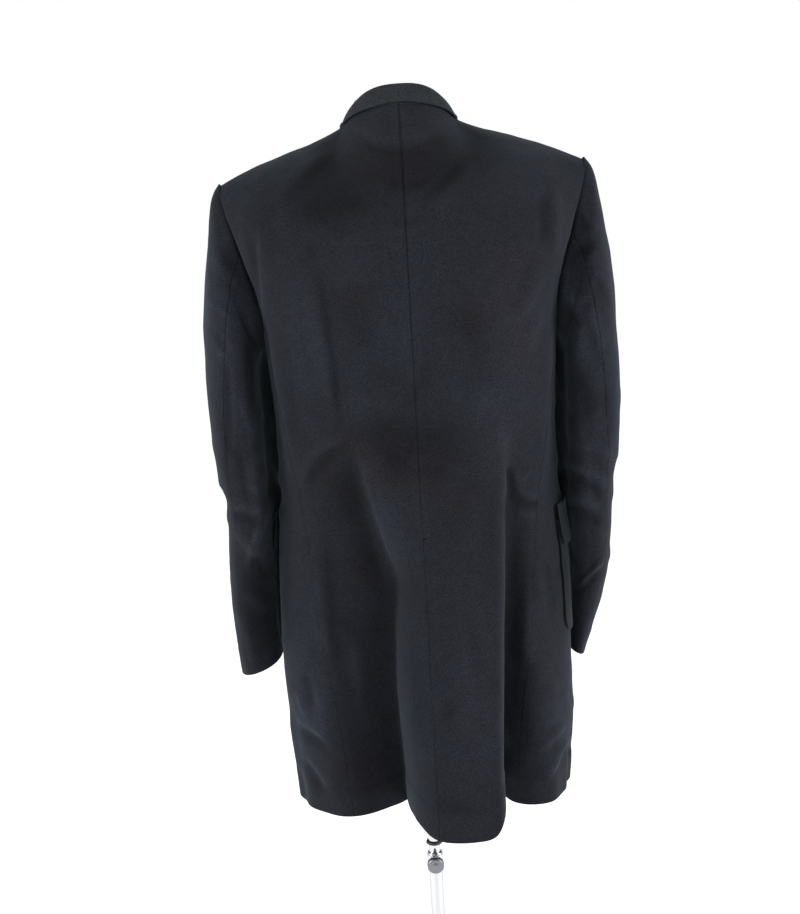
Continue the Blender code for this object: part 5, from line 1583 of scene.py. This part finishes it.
BUTTON_HEIGHTS = (1.165, 1.055, 0.945)
BUTTON, THICK, HOLE_APART, HOLE = 0.0110, 0.0042, 0.0021, 0.0010
HOLE_MIDDLE, HOLE_LONG, HOLE_HALF = 0.0100, 0.0230, 0.0015
worked = []
for number, height in enumerate(BUTTON_HEIGHTS, 1):
    button = turned(f"button_{number}_turned", [
        (BUTTON - 0.0010, 0.0), (BUTTON - 0.0002, 0.0004), (BUTTON, 0.0012), (BUTTON, THICK - 0.0014),
        (BUTTON - 0.0004, THICK - 0.0004), (BUTTON - 0.0012, THICK), (BUTTON - 0.0022, THICK - 0.0001),
        (BUTTON - 0.0032, THICK - 0.0008), (BUTTON - 0.0045, THICK - 0.0012), (0.0030, THICK - 0.0014),
    ], sides=64, bevel=0.0)
    drills = []
    for x, y in ((1, 1), (1, -1), (-1, 1), (-1, -1)):
        bpy.ops.mesh.primitive_cylinder_add(
            vertices=20, radius=HOLE, depth=0.02, location=(x * HOLE_APART, y * HOLE_APART, 0.0)
        )
        drills.append(bpy.context.object)
    bpy.ops.object.select_all(action="DESELECT")
    for drill in drills:
        drill.select_set(True)
    bpy.ops.object.join()
    drill = bpy.context.object
    cut = button.modifiers.new("holes", "BOOLEAN")
    cut.operation, cut.object, cut.solver = "DIFFERENCE", drill, "EXACT"
    bpy.ops.object.select_all(action="DESELECT")
    button.select_set(True)
    bpy.context.view_layer.objects.active = button
    bpy.ops.object.modifier_apply(modifier="holes")
    bpy.data.objects.remove(drill, do_unlink=True)
    bpy.ops.object.shade_smooth_by_angle(angle=math.radians(40))

    face = hung(skin(180.0, height))
    ahead = face - hung(skin(180.0, height - 0.02))
    lean = math.atan2(ahead[1], ahead[2])
    seat = Matrix.Translation(Vector(face) + Vector((0.0, -2.5 * GAP, 0.0))) @ Matrix.Rotation(
        math.pi / 2 - lean, 4, "X"
    )
    button.data.transform(seat)
    fixed(button, horn, "coat_form", "dark_horn", f"button_{number}")

    # Thread crosses over its face from hole to hole
    placed = np.array(seat)
    for ends in (((1, 1), (-1, -1)), ((1, -1), (-1, 1))):
        local = np.array([[*(np.array(end) * HOLE_APART), THICK - 0.0014, 1.0] for end in ends])
        line = (local @ placed.T)[:, :3]
        path = np.linspace(line[0], line[1], 8)
        worked.append((path, np.tile(placed[:3, 2], (8, 1)), 0.00045, 0.0006))
    # The buttonhole's stitches run round its slit, which starts just past the button's stem
    ring_turn = np.linspace(0.0, math.tau, 61)
    along_x = HOLE_MIDDLE + HOLE_LONG / 2 * np.cos(ring_turn)
    along_z = HOLE_HALF * np.sin(ring_turn)
    angle = 180.0 - np.degrees(np.arcsin(np.clip(along_x / along(COAT, "half", height), -1, 1)))
    here = hung(skin(angle, height + along_z))
    outward = oval(COAT, angle, height + along_z)[1]
    worked.append((here + outward * creased(here, outward)[1][:, None], outward, 0.0006, 0.0002))


corners, faces = [], []
for points, out, radius, height in worked:
    centres = points + out * height
    ahead = unit(np.gradient(centres, axis=0))
    side = unit(np.cross(ahead, out))
    spun(corners, faces, centres, side, np.cross(side, ahead), [radius] * len(centres), 8)
sewn("button_threads", corners, faces)


# ---- Floor, light and camera -----------------------------------------------------------------------------
# A plain white studio: an even sky, a pale floor and two large soft lamps, one at each side of the coat.
# The camera stands behind the coat at the height of its shoulders and looks down a little.

bpy.ops.object.select_all(action="DESELECT")
bpy.ops.mesh.primitive_circle_add(vertices=96, radius=60.0, fill_type="NGON", location=(0.0, 0.0, 0.0))
floor = bpy.context.object
floor.name = "studio_floor"
pale, pale_tree, pale_shader = finish("pale_floor", (0.90, 0.90, 0.90), 0.9)
# The floor glows: plain white where the camera sees it, and fainter in the light that it throws onto the coat
pale_shader.inputs["Emission Strength"].default_value = 0.58
floor_seen = add(pale_tree, "ShaderNodeLightPath").outputs["Is Camera Ray"]
glow = add(pale_tree, "ShaderNodeMix", {
    0: floor_seen, 6: (0.45, 0.45, 0.45, 1.0), 7: (1.0, 1.0, 1.0, 1.0),
}, data_type="RGBA")
pale_tree.links.new(glow.outputs[2], pale_shader.inputs["Emission Color"])
floor_place = add(pale_tree, "ShaderNodeTexCoord").outputs["Object"]
pale_tone = spread(pale_tree, mottled(pale_tree, floor_place, 3.0), 0.89, 0.91, 0.0, 1.0)
pale_colour = add(pale_tree, "ShaderNodeCombineColor", dict.fromkeys(("Red", "Green", "Blue"), pale_tone))
pale_tree.links.new(pale_colour.outputs["Color"], pale_shader.inputs["Base Color"])
floor.data.materials.append(pale)

world = bpy.data.worlds.new("studio")
bpy.context.scene.world = world
world.use_nodes = True
sky = world.node_tree.nodes["Background"]
sky.inputs["Color"].default_value = (1.0, 1.0, 1.0, 1.0)
sky.inputs["Strength"].default_value = 0.495
backdrop = add(world.node_tree, "ShaderNodeBackground", {"Color": (1.0, 1.0, 1.0, 1.0), "Strength": 1.0})
sky_seen = add(world.node_tree, "ShaderNodeLightPath").outputs["Is Camera Ray"]
both = add(world.node_tree, "ShaderNodeMixShader", {
    0: sky_seen, 1: sky.outputs["Background"], 2: backdrop.outputs["Background"],
})
world.node_tree.links.new(both.outputs["Shader"], world.node_tree.nodes["World Output"].inputs["Surface"])


def softbox(name, place, aim, size, power, tint=(1.0, 1.0, 1.0)):
    lamp = bpy.data.lights.new(name, "AREA")
    lamp.shape, lamp.size, lamp.energy, lamp.color = "DISK", size, power, tint
    thing = bpy.data.objects.new(name, lamp)
    bpy.context.scene.collection.objects.link(thing)
    thing.location = place
    thing.rotation_euler = (Vector(aim) - Vector(place)).to_track_quat("-Z", "Y").to_euler()


softbox("left_light", (2.8, 1.2, 1.9), (0.0, 0.0, 1.0), 1.6, 74.0)
softbox("right_light", (-2.8, 1.2, 1.8), (0.0, 0.0, 1.0), 1.6, 74.0)

pitch, roll = math.radians(11.5), math.radians(3.3)
level_right, level_up = Vector((-1, 0, 0)), Vector((0, -math.sin(pitch), math.cos(pitch)))
forward = Vector((0, -math.cos(pitch), -math.sin(pitch)))
right = level_right * math.cos(roll) - level_up * math.sin(roll)
up = level_right * math.sin(roll) + level_up * math.cos(roll)
view = bpy.data.cameras.new("view")
view.lens, view.sensor_width, view.sensor_fit = 65.79, 36.0, "HORIZONTAL"
camera = bpy.data.objects.new("view", view)
bpy.context.scene.collection.objects.link(camera)
pose = Matrix((right, up, -forward)).transposed().to_4x4()
pose.translation = (0.0166, 1.85, 1.4215)
camera.matrix_world = pose
bpy.context.scene.camera = camera
bpy.context.scene.view_settings.view_transform = "Standard"
